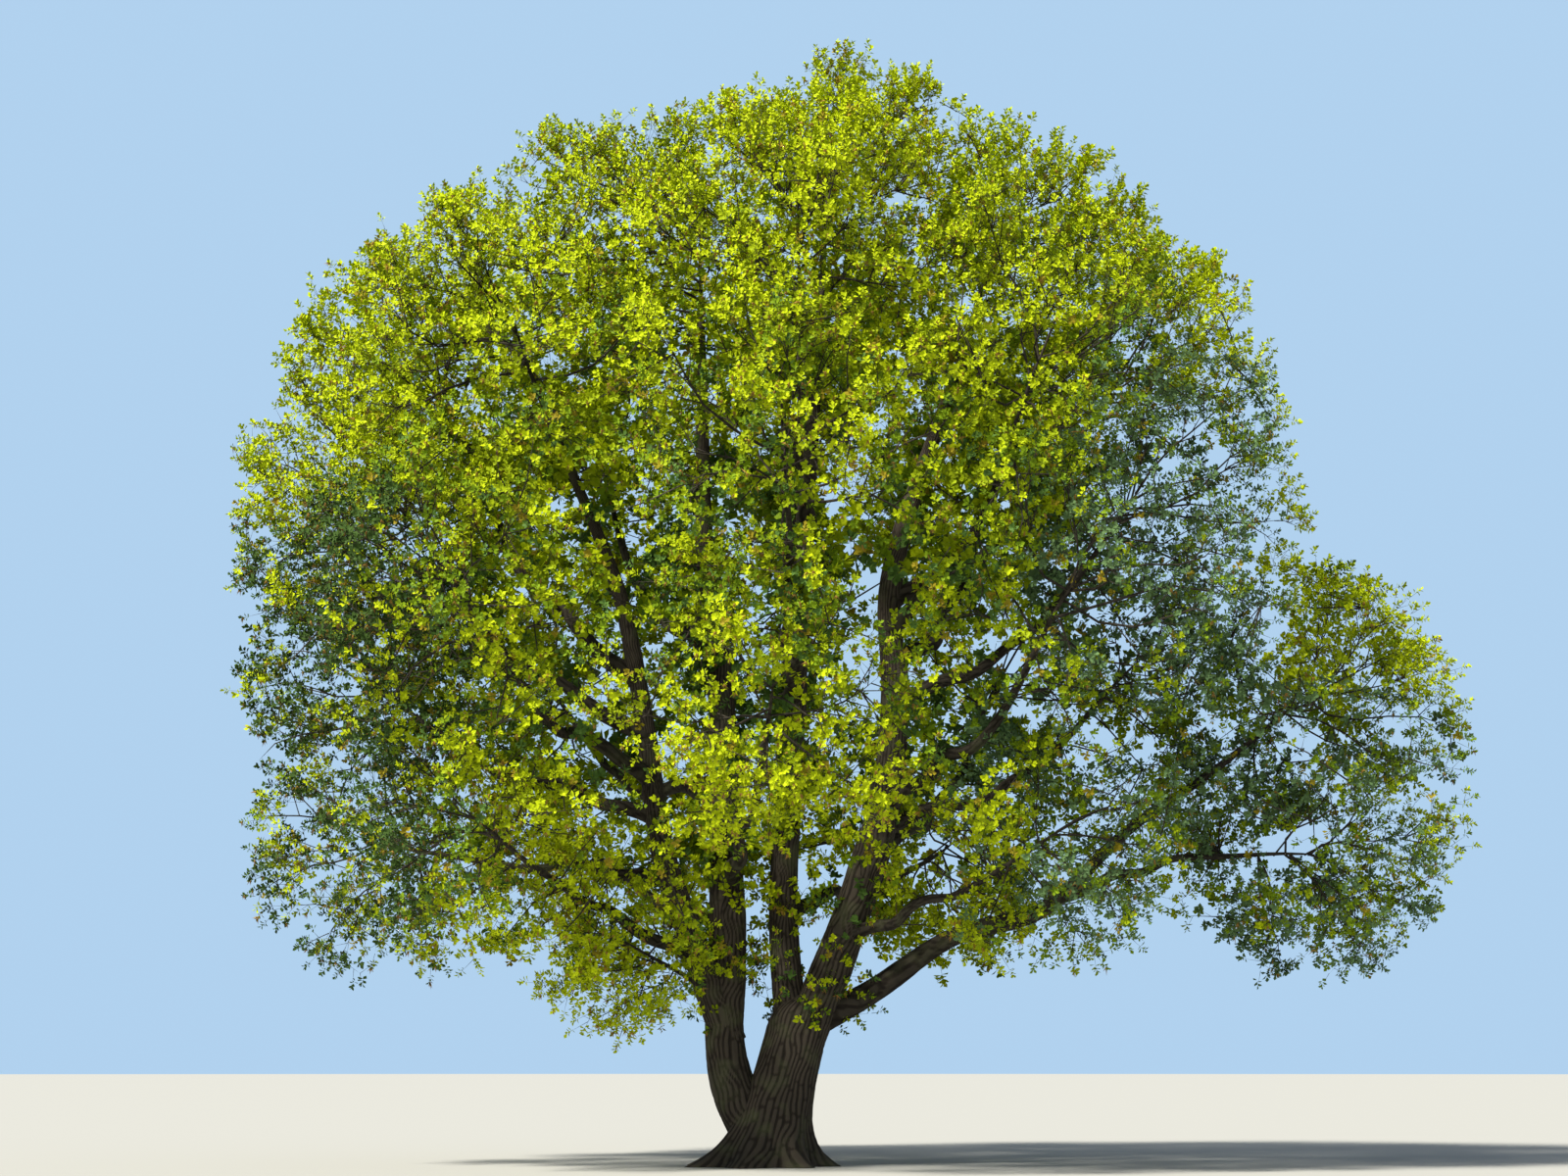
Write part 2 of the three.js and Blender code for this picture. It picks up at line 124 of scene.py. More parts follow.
# The bole: one short leaning trunk of living wood in deeply furrowed bark, with a root flare at the
# ground and a rounded fork on top, out of which the stems grow.
BOLE = {
    "sides": 192,
    "ring_step": 0.025,
    "radius": 0.49,
    "crotch_height": 2.2,
    "rounding_depth": 0.85,
    "fork_height": 2.65,
    "fork_shift": 0.75,
    "flare_radius": 0.6,
    "flare_height": 0.42,
    "root_lobes": 7,
    "lobe_depth": 0.17,
    "hollows": 3,  # shallow ones above the flare, that turn round the bole as they rise
    "hollow_depth": 0.035,
    "hollow_turn": 1.1,
    "line_points": 60,
    "bark_seed": 5,
}
# In the bark, furrows wander between long plates, which are cracked across and worn.
BARK = {
    "plate_width": 0.08,
    "wander": 2.0,  # how far a furrow strays, in plates
    "wander_length": 0.34,  # metres along a thick limb over which it does so
    "plates_per_wander": 0.7,
    "furrow_width": 0.26,  # of a plate, on each side of it
    "crack_width": 0.045,
    "crack_depth": 0.4,  # of a furrow's
    "wear": 0.28,
}
FURROW_DEPTH = 0.05  # of the limb's radius, up to the deepest
DEEPEST_FURROW = 0.022
FIBRES = (55, 9, 1)  # to the metre, round a limb and along it
GRAIN_DEPTH = 0.3  # of the fibres, beside the plates' height
# The dark colour down in the furrows is partly the bark's own and partly painted shade.
DARK_BARK_HEIGHT = 0.15  # of plate and grain together, where each colour of the bark is pure
MIDDLE_BARK_HEIGHT = 0.7
PALE_BARK_HEIGHT = 1.1 / 1.2
LICHEN_SETS_IN = (0.52, 0.7)
LICHEN_COLOUR = (0.115, 0.13, 0.06, 1)


def ease(x):
    return x * x * (3 - 2 * x)


def ring_noise(around, along, cells, cell_length, seed):
    """Smooth noise from 0 to 1 on a limb's skin: around is from 0 to 1 and closes, along is in metres."""
    rows = int(along.max() / cell_length) + 3
    lattice = np.random.default_rng(seed).random((rows, cells))
    column, row = around * cells, along / cell_length
    left, low = np.floor(column).astype(int), np.floor(row).astype(int)
    aside, up = ease(column - left), ease(row - low)
    lower = lattice[low, left % cells] * (1 - aside) + lattice[low, (left + 1) % cells] * aside
    upper = lattice[low + 1, left % cells] * (1 - aside) + lattice[low + 1, (left + 1) % cells] * aside
    return lower * (1 - up) + upper * up


def bark_relief(around, along, radius, seed):
    """Height of the bark from 0 in a furrow to 1 on a plate: long plates side by side, between furrows
    that wander as they run along the limb, and cracked across here and there."""
    plates = max(6, round(min(2 * math.pi * radius / BARK["plate_width"], around.shape[1] / 4)))
    wander_length = BARK["wander_length"] * min(1, 0.35 + 1.6 * radius)  # less on a thin limb
    wander = BARK["wander"] * (ring_noise(around, along, plates // 3, wander_length, seed) - 0.5)
    place = plates * around + wander
    beside = 0.5 - np.abs(place % 1 - 0.5)
    furrow = np.clip(beside / BARK["furrow_width"], 0, 1) ** 0.8
    plate_length = wander_length / BARK["plates_per_wander"]
    starts = np.random.default_rng(seed + 1).random(plates)
    ends = along / plate_length + starts[np.floor(place).astype(int) % plates]
    crack = np.clip((0.5 - np.abs(ends % 1 - 0.5)) * plate_length / BARK["crack_width"], 0, 1)
    worn = ring_noise(around, along, 2 * plates, 0.4 * wander_length, seed + 2)
    return furrow * (1 - BARK["crack_depth"] * (1 - crack)) * (1 - BARK["wear"] * (1 - worn))


def skin(name, rings, relief, girth, length, material):
    """One limb's closed skin, rolled up from a flat grid: rings holds the corners of each ring."""
    rows, sides = rings.shape[:2]
    bm = bmesh.new()
    bmesh.ops.create_grid(bm, x_segments=sides, y_segments=rows - 1, size=1, calc_uvs=False)
    bm.verts.ensure_lookup_table()
    places = np.array([vertex.co[:] for vertex in bm.verts])
    column = np.rint((places[:, 0] + 1) / 2 * sides).astype(int)
    row = np.rint((places[:, 1] + 1) / 2 * (rows - 1)).astype(int)
    run = bm.loops.layers.uv.new("run")
    height = bm.verts.layers.float.new("relief")
    for vertex, corner, h in zip(bm.verts, rings[row, column % sides], relief[row, column % sides]):
        vertex.co = corner
        vertex[height] = h
    for face in bm.faces:
        for loop in face.loops:
            i = loop.vert.index
            loop[run].uv = (column[i] / sides * girth, row[i] / (rows - 1) * length)
    bmesh.ops.remove_doubles(bm, verts=bm.verts, dist=1e-5)
    ends = [edge for edge in bm.edges if edge.is_boundary]
    bmesh.ops.holes_fill(bm, edges=ends, sides=0)
    bmesh.ops.recalc_face_normals(bm, faces=bm.faces)
    for face in bm.faces:
        face.smooth = True
    mesh = bpy.data.meshes.new(name + "_bark")
    bm.to_mesh(mesh)
    bm.free()
    mesh.materials.append(material)
    piece = bpy.data.objects.new(name + "_bark", mesh)
    scene.collection.objects.link(piece)
    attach(piece, "root")
    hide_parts(name)


def way_between(tree, value, low, high):
    """How far a value is on its way from low to high, from 0 to 1."""
    inputs = {"Value": value, "From Min": low, "From Max": high}
    return wire(tree, "ShaderNodeMapRange", inputs).outputs["Result"]


def mix(tree, share, first, second):
    """A mix of two colours, each a colour or a socket. Its node takes them in sockets 6 and 7."""
    return wire(tree, "ShaderNodeMix", {0: share, 6: first, 7: second}, data_type="RGBA").outputs[2]


def noise(tree, place, scale, detail):
    inputs = {"Vector": place, "Scale": scale, "Detail": detail}
    return wire(tree, "ShaderNodeTexNoise", inputs).outputs["Fac"]


def maths(tree, operation, *values):
    return wire(tree, "ShaderNodeMath", dict(enumerate(values)), operation=operation).outputs[0]


def bark_look():
    """The node group that all bark shares: dark in the furrows, partly the bark's own colour and partly
    painted shade, and pale on the plates, with fibres that run along the limb and patches of lichen."""
    group = bpy.data.node_groups.new("bark_look", "ShaderNodeTree")
    for name in ("Dark", "Middle", "Pale"):
        group.interface.new_socket(name, in_out="INPUT", socket_type="NodeSocketColor")
    group.interface.new_socket("Lichen", in_out="INPUT", socket_type="NodeSocketFloat")
    group.interface.new_socket("Colour", in_out="OUTPUT", socket_type="NodeSocketColor")
    group.interface.new_socket("Height", in_out="OUTPUT", socket_type="NodeSocketFloat")
    given = group.nodes.new("NodeGroupInput").outputs

    relief = wire(group, "ShaderNodeAttribute", attribute_name="relief").outputs["Fac"]
    run = wire(group, "ShaderNodeUVMap", uv_map="run").outputs["UV"]
    fibres = wire(group, "ShaderNodeMapping", {"Vector": run, "Scale": FIBRES}).outputs["Vector"]
    grain = noise(group, fibres, 1.0, 5.0)
    height = maths(group, "MULTIPLY_ADD", grain, GRAIN_DEPTH, relief)
    # Darker down in the furrows: partly the bark's own colour, partly painted shade.
    lighter = way_between(group, height, DARK_BARK_HEIGHT, MIDDLE_BARK_HEIGHT)
    wood = mix(group, lighter, given["Dark"], given["Middle"])
    palest = way_between(group, height, MIDDLE_BARK_HEIGHT, PALE_BARK_HEIGHT)
    wood = mix(group, palest, wood, given["Pale"])

    place = wire(group, "ShaderNodeTexCoord").outputs["Object"]
    spots = way_between(group, noise(group, place, 2.6, 6.0), *LICHEN_SETS_IN)
    lichen = maths(group, "MULTIPLY", spots, given["Lichen"])
    colour = mix(group, lichen, wood, LICHEN_COLOUR)
    wire(group, "NodeGroupOutput", {"Colour": colour, "Height": height})
    return group


def bark_material(name, dark, middle, pale, lichen):
    material, principled, tree = shader(name, Roughness=0.92, Specular_IOR_Level=0.25)
    inputs = {"Dark": (*dark, 1), "Middle": (*middle, 1), "Pale": (*pale, 1), "Lichen": lichen}
    look = wire(tree, "ShaderNodeGroup", inputs, node_tree=bark_group).outputs
    bump = wire(tree, "ShaderNodeBump", {"Height": look["Height"], "Strength": 0.8, "Distance": 0.01})
    tree.links.new(look["Colour"], principled.inputs["Base Color"])
    tree.links.new(bump.outputs["Normal"], principled.inputs["Normal"])
    return material


def bole_middle(height):
    return np.stack([BOLE["fork_shift"] * height / BOLE["fork_height"], 0 * height, height], axis=-1)


def bole_rings():
    """The corners of the bole's rings, and its bark's relief there."""
    fork_height = BOLE["fork_height"]
    heights = np.linspace(0, fork_height, int(fork_height / BOLE["ring_step"]))[:, None]
    angles = np.linspace(0, 2 * math.pi, BOLE["sides"], endpoint=False)[None, :]
    fading = np.exp(-heights / BOLE["flare_height"])
    rounding = np.maximum(0, heights - BOLE["crotch_height"]) / (fork_height - BOLE["crotch_height"])
    rounded = np.sqrt(1 - BOLE["rounding_depth"] * rounding**2)
    lobes = 1 + BOLE["lobe_depth"] * fading * np.cos(BOLE["root_lobes"] * angles)
    hollows = np.cos(BOLE["hollows"] * angles + BOLE["hollow_turn"] * heights)
    lobes = lobes + BOLE["hollow_depth"] * (1 - fading) * hollows
    radius = (BOLE["radius"] + BOLE["flare_radius"] * fading) * rounded * lobes
    around = np.broadcast_to(angles / (2 * math.pi), radius.shape)
    along = np.broadcast_to(heights, radius.shape)
    relief = bark_relief(around, along, BOLE["radius"], BOLE["bark_seed"])
    radius = radius - DEEPEST_FURROW * (1 - relief)
    outward = np.stack([np.cos(angles), np.sin(angles), 0 * angles], axis=-1)
    return bole_middle(heights) + radius[..., None] * outward, relief


bark_group = bark_look()
bark = bark_material(
    "furrowed_bark",
    dark=(0.012, 0.009, 0.007),
    middle=(0.032, 0.025, 0.019),
    pale=(0.07, 0.057, 0.044),
    lichen=0.4,
)
rings, relief = bole_rings()
skin("bole", rings, relief, 2 * math.pi * BOLE["radius"], BOLE["fork_height"], bark)

# The stems: four living stems that fork from the bole and taper to the upper crown, in the same
# furrowed bark, which turns finer and smoother as they thin.
STEMS = {  # radius at the foot and at the tip, and the points that each passes through
    "left_stem": (
        (0.36, 0.085),
        [(0, 0, 0.3), (-0.5, 0.05, 1.6), (-0.52, 0.1, 4)]
        + [(-0.62, 0.1, 7.2), (-0.9, 0.25, 10), (-0.95, 0.3, 12.5)],
    ),
    "left_fork_stem": (
        (0.25, 0.07),
        [(-0.48, 0.05, 1.9), (-1, -0.15, 3.3), (-1.55, -0.3, 5)]
        + [(-1.8, -0.35, 6.8), (-2.25, -0.5, 9), (-3, -1.3, 10.9)],
    ),
    "centre_stem": (
        (0.26, 0.08),
        [(0.52, 0.05, 2), (0.38, 0.12, 3.9), (0.5, 0.2, 6.4), (0.68, 0.2, 9.4), (0.95, 0.1, 13.4)],
    ),
    "right_stem": (
        (0.36, 0.085),
        [(0.44, 0, 1.42), (1.3, -0.05, 3.5), (1.95, -0.1, 5.6)]
        + [(2.15, 0, 7.3), (2.1, 0.15, 9.2), (3.1, 0.35, 12.5)],
    ),
}
STEM_TAPER = 0.9
STEM_SIDES = 96
STEM_RING_STEP = 0.05
STEM_COLLAR = 0.1  # how much a stem thickens towards its foot, as a share
COLLAR_LENGTH = 3  # times the limb's radius
SWELLING = 0.16  # how uneven a limb's radius is, as a share
SWELLING_CELLS = 3
SWELLING_LENGTH = 0.9
LINE_POINTS = 200


def unit(vectors):
    vectors = np.asarray(vectors, dtype=float)
    return vectors / np.linalg.norm(vectors, axis=-1, keepdims=True)


def smooth_line(points, samples=120):
    """The line of a limb through its points: a centripetal Catmull-Rom curve, as in the source."""
    points = np.array(points, dtype=float)
    points = np.vstack([2 * points[0] - points[1], points, 2 * points[-1] - points[-2]])
    line = []
    for p0, p1, p2, p3 in zip(points, points[1:], points[2:], points[3:]):
        d0, d1, d2 = (math.sqrt(np.linalg.norm(b - a)) for a, b in ((p0, p1), (p1, p2), (p2, p3)))
        t1 = d1 * ((p1 - p0) / d0 - (p2 - p0) / (d0 + d1) + (p2 - p1) / d1)
        t2 = d1 * ((p2 - p1) / d1 - (p3 - p1) / (d1 + d2) + (p3 - p2) / d2)
        t = np.linspace(0, 1, samples, endpoint=False)[:, None]
        bends = (3 * (p2 - p1) - 2 * t1 - t2) * t**2 + (2 * (p1 - p2) + t1 + t2) * t**3
        line.append(p1 + t1 * t + bends)
    return np.vstack([*line, points[-2:-1]])


def length_of(line):
    return np.linalg.norm(np.diff(line, axis=0), axis=1).sum()


def evenly(line, count):
    """The line again, with count points evenly spaced along it."""
    steps = np.linalg.norm(np.diff(line, axis=0), axis=1)
    run = np.concatenate([[0], np.cumsum(steps)])
    shares = np.linspace(0, run[-1], count)
    return np.stack([np.interp(shares, run, line[:, i]) for i in range(3)], axis=1)


def frames_along(line):
    """Directions along a line, and two sideways ones that don't twist round it."""
    along = unit(np.gradient(line, axis=0))
    aside = np.empty_like(along)
    last = np.array([1.0, 0.0, 0.0]) if abs(along[0][0]) < 0.8 else np.array([0.0, 1.0, 0.0])
    for i, way in enumerate(along):
        last = unit(last - way * (last @ way))
        aside[i] = last
    return along, aside, np.cross(along, aside)


def limb_skin(name, line, radii, collar, sides, ring_step, material, seed):
    """A limb round its line, thickened at its foot, uneven along it and furrowed."""
    length = length_of(line)
    count = int(length / ring_step) + 2
    line = evenly(line, count)
    share = np.linspace(0, 1, count)
    radii = np.interp(share, np.linspace(0, 1, len(radii)), radii)
    radii = radii * (1 + collar * np.exp(-share * length / (COLLAR_LENGTH * radii[0])))
    _, aside, across = frames_along(line)
    around = np.broadcast_to(np.linspace(0, 1, sides, endpoint=False)[None, :], (count, sides))
    along = np.broadcast_to((share * length)[:, None], (count, sides))
    relief = bark_relief(around, along, radii[0], seed)
    depth = np.minimum(FURROW_DEPTH * radii, DEEPEST_FURROW)[:, None]
    swelling = SWELLING * (ring_noise(around, along, SWELLING_CELLS, SWELLING_LENGTH, seed + 7) - 0.5)
    reach = radii[:, None] * (1 + swelling) - depth * (1 - relief)
    angle = 2 * math.pi * around[..., None]
    outward = np.cos(angle) * aside[:, None] + np.sin(angle) * across[:, None]
    rings = line[:, None] + reach[..., None] * outward
    skin(name, rings, relief, 2 * math.pi * radii[0], length, material)


bole_heights = np.linspace(0, BOLE["fork_height"], BOLE["line_points"])
limbs = {"bole": (bole_middle(bole_heights), np.full(BOLE["line_points"], BOLE["radius"]))}
for index, (name, ((foot, tip), points)) in enumerate(STEMS.items()):
    line = evenly(smooth_line(points), LINE_POINTS)
    radii = tip + (foot - tip) * np.linspace(1, 0, LINE_POINTS) ** STEM_TAPER
    limbs[name] = (line, radii)
    limb_skin(name, line, radii, STEM_COLLAR, STEM_SIDES, STEM_RING_STEP, bark, 20 + 10 * index)

# The boughs: each leaves its parent limb at a fork, sets off outward and sweeps to its mass of foliage.
# They're living wood too, in thinner and smoother bark than the bole's.

# Each mass has its name, the limb that bears it, the height of its bough's foot there, how much the bough
# rises at its end, and its middle and radius. Without a foot's height, the limb's own tip bears the mass.
# Without a rise, it stands straight on the limb.
MASSES = [
    ("crown_top", "centre_stem", None, 0, (1.6, -0.1, 15.2), 2.9),
    ("top_right", "right_stem", None, 0, (4.1, 1, 14.4), 2.9),
    ("top_left", "left_stem", None, 0, (-2.3, -0.6, 14.1), 2.8),
    ("front_upper_left", "left_fork_stem", None, 0, (-3.8, -3.4, 12), 2.9),
    ("front_top", "centre_stem", 10.2, 0.5, (0.6, -3.9, 13.6), 2.8),
    ("front_upper_right", "right_stem", 8.4, 0.5, (4.2, -3.4, 12), 2.8),
    ("front_middle", "centre_stem", 7.4, 0.4, (0.4, -5.2, 10.2), 3),
    ("front_right", "right_stem", 5.6, 0.35, (4.6, -4.1, 8.5), 2.9),
    ("front_left", "left_fork_stem", 6, 0.35, (-4.4, -4.1, 8.6), 2.9),
    ("front_low_middle", "left_stem", 4.4, 0.3, (0.2, -5.4, 6.8), 2.5),
    ("front_low_left", "left_fork_stem", 3.2, 0.1, (-4.1, -3.5, 5.1), 2.4),
    ("front_low_right", "right_stem", 3.5, 0.1, (4.3, -3.4, 4.9), 2.2),
    ("right_shoulder", "right_stem", 8.9, 0.5, (5.8, 0.6, 12.6), 2.8),
    ("right_upper_side", "right_stem", 7.2, 0.4, (5.8, -1, 10.3), 2.8),
    ("right_side", "right_stem", 5.2, 0.35, (6, 0.8, 7.9), 2.5),
    ("right_spread", "bole", 2.1, 0.1, (8.8, 0.2, 7.4), 2.5),
    ("right_low_spread", "right_spread_bough", 4.2, -0.15, (8.5, -0.6, 4.8), 2.3),
    ("left_shoulder", "left_fork_stem", 7.6, 0.5, (-5.2, 0.8, 12.5), 2.9),
    ("left_upper_side", "left_fork_stem", 6.7, 0.4, (-5.7, -0.8, 10.3), 2.8),
    ("left_side", "left_fork_stem", 5.4, 0.25, (-6.1, 0.7, 7.6), 2.7),
    ("left_low_side", "left_fork_stem", 4.4, 0.05, (-5.9, -0.6, 5), 2.4),
    ("back_top", "centre_stem", 9.4, 0.5, (0.3, 4.1, 13.7), 2.8),
    ("back_upper_right", "right_stem", 7.8, 0.5, (4, 4, 11.6), 2.9),
    ("back_upper_left", "left_stem", 8, 0.5, (-2.9, 4.3, 12), 2.9),
    ("back_middle", "centre_stem", 6.4, 0.4, (0.4, 5.3, 10), 3),
    ("back_right", "right_stem", 4.8, 0.35, (4.1, 4.3, 8.1), 3),
    ("back_left", "left_stem", 5.6, 0.35, (-3.7, 4.4, 8.1), 3),
    ("back_low_left", "left_stem", 3.6, 0.1, (-3, 4.2, 5.3), 2.6),
    ("back_low_right", "centre_stem", 3.9, 0.1, (3.2, 4.3, 5.3), 2.6),
    ("stem_shoots", "left_fork_stem", 2.7, None, (-2, -1.8, 3.4), 1.6),
]
UP = np.array([0.0, 0.0, 1.0])
BOUGH = {
    "sides": 26,
    "ring_step": 0.07,
    "outward": 0.9,  # how strongly each way draws the bough as it sets off
    "along_parent": 0.45,
    "straight": 0.4,
    "handles": (0.36, 0.34),  # shares of the span over which it keeps its way at each end
    "wobble": 0.035,  # of the span
    "wobble_turns": (1.4, 1.7),
    "reach": 0.72,  # it ends this share of the mass's radius short of its middle
    "tip_radius": 0.024,  # of the mass's radius
    "taper": 0.018,  # what each metre of span adds to the radius at the foot
    "taper_power": 1.1,
    "collar": 0.35,
}


def seeded_numbers(seed):
    """The source's stream of numbers from 0 to 1."""
    state = seed * 2654435761 % 2**32
    while True:
        state = (state * 1664525 + 1013904223) % 2**32
        yield state / 2**32


def at_height(line, height):
    """The point of a rising line at a height, and the line's direction there."""
    i = int(np.argmax(line[:, 2] > height))
    share = (height - line[i - 1, 2]) / (line[i, 2] - line[i - 1, 2])
    return line[i - 1] + share * (line[i] - line[i - 1]), unit(line[i] - line[i - 1])


def bough_line(parent, height, rise, centre, radius, seed):
    """The line of a bough, from its foot on the parent's line to its tip in the mass."""
    foot, parent_way = at_height(parent, height)
    straight = unit(centre - foot)
    sets_off = unit(
        BOUGH["outward"] * unit(straight * (1, 1, 0))
        + BOUGH["along_parent"] * parent_way
        + BOUGH["straight"] * straight
    )
    arrives = unit(straight + rise * UP)
    tip = centre - BOUGH["reach"] * radius * arrives
    span = np.linalg.norm(tip - foot)
    near = foot + BOUGH["handles"][0] * span * sets_off
    far = tip - BOUGH["handles"][1] * span * arrives
    t = np.linspace(0, 1, 300)[:, None]
    line = foot * (1 - t) ** 3 + 3 * near * t * (1 - t) ** 2 + 3 * far * t**2 * (1 - t) + tip * t**3
    strength = BOUGH["wobble"] * span * np.sin(math.pi * t) ** 2
    numbers = seeded_numbers(seed)
    aside = unit(np.cross(tip - foot, UP))
    for way, turns in zip((aside, UP), BOUGH["wobble_turns"]):
        line = line + way * strength * np.sin(2 * math.pi * (turns * t + next(numbers)))
    return line


young_bark = bark_material(
    "young_bark",
    dark=(0.011, 0.008, 0.006),
    middle=(0.024, 0.019, 0.014),
    pale=(0.046, 0.039, 0.03),
    lichen=0.35,
)
for index, (mass, parent, height, rise, centre, radius) in enumerate(MASSES):
    if height is None or rise is None:
        continue
    line = bough_line(limbs[parent][0], height, rise, np.array(centre), radius, index + 1)
    taper = BOUGH["taper"] * np.linalg.norm(line[-1] - line[0])
    line = evenly(line, LINE_POINTS)
    thinning = np.linspace(1, 0, LINE_POINTS) ** BOUGH["taper_power"]
    radii = BOUGH["tip_radius"] * radius + taper * thinning
    limbs[mass + "_bough"] = (line, radii)
    looks = (BOUGH["collar"], BOUGH["sides"], BOUGH["ring_step"], young_bark)
    limb_skin(mass + "_bough", line, radii, *looks, 100 + 10 * index)

# The twigs: from the tip of each stem or bough a mass's own stem goes on, and bears twigs by the source's
# rule. Those bear side twigs, whose outer halves carry a puff of short leafy shoots each. Further side
# twigs grow into the hollows that are left, and fewer stay where the photograph shows sky.
GOLDEN_ANGLE = math.pi * (3 - math.sqrt(5))
CROWN_MIDDLE = np.array([0.6, 0.0, 8.2])
MASS_STEM = {
    "overshoot": 0.12,  # of the mass's radius, past its middle
    "points": 8,
    "bend": 0.02,
    "tip_radius": 0.012,
    "shoots_radius": 0.05,  # of the stem that stands straight on a limb
}
TWIG = {
    "per_metre": 5,  # of the mass's radius
    "feet": (0.2, 0.95),  # stretch of the stem from which twigs spring
    "reach": (0.6, 1.08),  # of the mass's radius
    "outward": 0.5,  # how strongly twigs turn away from the middle of the crown
    "drawn_in": (0.85, 6),  # to this share of the length, and how often, to stay in the mass's space
    "points": 6,
    "bend": 0.12,
    "thinnest": 0.008,
    "tip_share": 0.35,
    "swell": 0.9,  # how far out its tip may be, as a share of the mass's radius
}
SIDE_TWIG = {
    "count": 12,
    "places": (0.32, 1),  # along the twig
    "stray": 0.04,
    "tilt": 58,
    "last_tilt": 12,
    "tilt_stray": 10,
    "outward": 0.35,
    "length": (0.5, 1.15),  # in a mass with a radius of 2.4 m
    "shorter": (1.15, 0.85),  # times that, from the twig's foot to its tip
    "drawn_in": (0.75, 4),
    "points": 3,
    "bend": 0.09,
    "thinnest": 0.006,
    "tip_share": 0.4,
    "swell": 0.91,
}
THICKENING = 0.006  # of a twig's radius, for each metre of its length
SHOOT = {
    "count": 9,  # in a puff
    "stretch": 0.75,  # of the side twig, back from its tip
    "stray": 0.06,
    "tilt": 62,
    "last_tilt": 10,
    "tilt_stray": 12,
    "length": (0.1, 0.36),
    "radius": 0.0045,
}
TWIG_BROWNS = ((0.016, 0.013, 0.01, 1), (0.055, 0.046, 0.034, 1))
# Below, what varies through the crown is given as two places in metres and the values there.
TWIGS_RISE = ((11, 16), (0.3, 0.8))  # by height
FILL_TRIES = 1000  # places tried in each mass for a side twig where a hollow is left
FILL_CLEARANCE = ((6, 11), (0.5, 0.35))  # metres from there to the next tip, by height
FILL_NEAR_SPREAD = ((6.5, 7.5), (1, 0.8))  # times that, from left to right
FILL_BEHIND = ((0.5, 2.5), (1, 1.3))  # and times that, from front to back
FILL_LENGTH = 2.2  # the longest side twig in a hollow
ROUND_MIDDLE = np.array([0.25, 0.0, 9.2])  # the crown's round, and the lower spread beside it
ROUND_RADII = np.array([8.4, 7.8, 7.8])
SPREAD_MIDDLE = np.array([8.4, 0.0, 6.3])
SPREAD_RADII = np.array([2.9, 2.8, 3.3])
OUTLINE_BUMPS = 0.1  # how uneven the round's surface is, as a share
HOLLOW_SWELL = 1.32  # how far out twigs may end in a hollow, as a share of the mass's radius
LOWEST_HOLLOW = 4.6
LOWEST_LEAF = 0.3
PATCH_WAVES = np.random.default_rng(7).normal(0, 1.5, (6, 3))
CLUMP_SCALE = 2.1  # how much finer clumps are than patches
CLUMP_EDGE = -0.05  # where the pattern is below this, it is between clumps
LEFT_BETWEEN_CLUMPS = ((7, 12), (0.5, 1))  # share of side twigs, by height
LEFT_BEHIND = ((1, 4), (1, 0.64))  # from front to back
LEFT_INSIDE = 0.3  # in the shade inside the crown
SHADE = (0.42, 0.74)  # shares of the round between which the crown's shady inside gives way to leaf
# Gaps with sky: middle and half sizes in the photograph's pixels, and the share of side twigs left there.
SKY_GAPS = [
    (625, 745, 58, 100, 0.5),
    (540, 862, 80, 30, 0.7),
    (585, 925, 70, 26, 0.45),
    (400, 780, 60, 26, 0.4),
    (765, 655, 28, 40, 0.3),
    (885, 640, 30, 80, 0.5),
    (718, 405, 36, 85, 0.35),
    (770, 300, 34, 24, 0.6),
    (280, 700, 60, 70, 0.55),
    (310, 850, 90, 100, 0.6),
    (1135, 772, 62, 44, 0.12),
    (1165, 522, 18, 24, 0.3),
    (1115, 590, 16, 34, 0.3),
    (1210, 570, 115, 140, 0.5),
    (1090, 670, 100, 80, 0.5),
    (1220, 410, 95, 95, 0.5),
    (1350, 790, 120, 90, 0.6),
    (1110, 850, 60, 50, 0.55),
    (1000, 800, 50, 40, 0.5),
    (530, 965, 90, 36, 0.65),
    (950, 900, 40, 60, 0.4),
]


def sideways_of(axes):
    """Two directions at right angles to each axis."""
    helper = np.where(np.abs(axes[:, 2:3]) < 0.9, UP, np.array([1.0, 0, 0]))
    aside = unit(np.cross(axes, helper))
    return aside, np.cross(axes, aside)


def tube_arrays(lines, radii, sides):
    """Many thin twigs as arrays: lines is (twigs, points, 3), and each ends in a point at its last."""
    twigs, points = lines.shape[:2]
    aside, across = sideways_of(unit(lines[:, -1] - lines[:, 0]))
    angle = np.linspace(0, 2 * math.pi, sides, endpoint=False)
    circle = np.cos(angle)[:, None] * aside[:, None, :] + np.sin(angle)[:, None] * across[:, None, :]
    rings = lines[:, :-1, None, :] + radii[:, :-1, None, None] * circle[:, None]
    vertices = np.concatenate([rings.reshape(twigs, (points - 1) * sides, 3), lines[:, -1:]], axis=1)
    faces = []
    for ring in range(points - 2):
        for i in range(sides):
            a, b = ring * sides + i, ring * sides + (i + 1) % sides
            faces += [(a, b, b + sides), (a, b + sides, a + sides)]
    last = (points - 2) * sides
    faces += [(last + i, last + (i + 1) % sides, (points - 1) * sides) for i in range(sides)]
    offsets = np.arange(twigs)[:, None, None] * vertices.shape[1]
    return vertices.reshape(-1, 3), (np.array(faces)[None] + offsets).reshape(-1, 3)


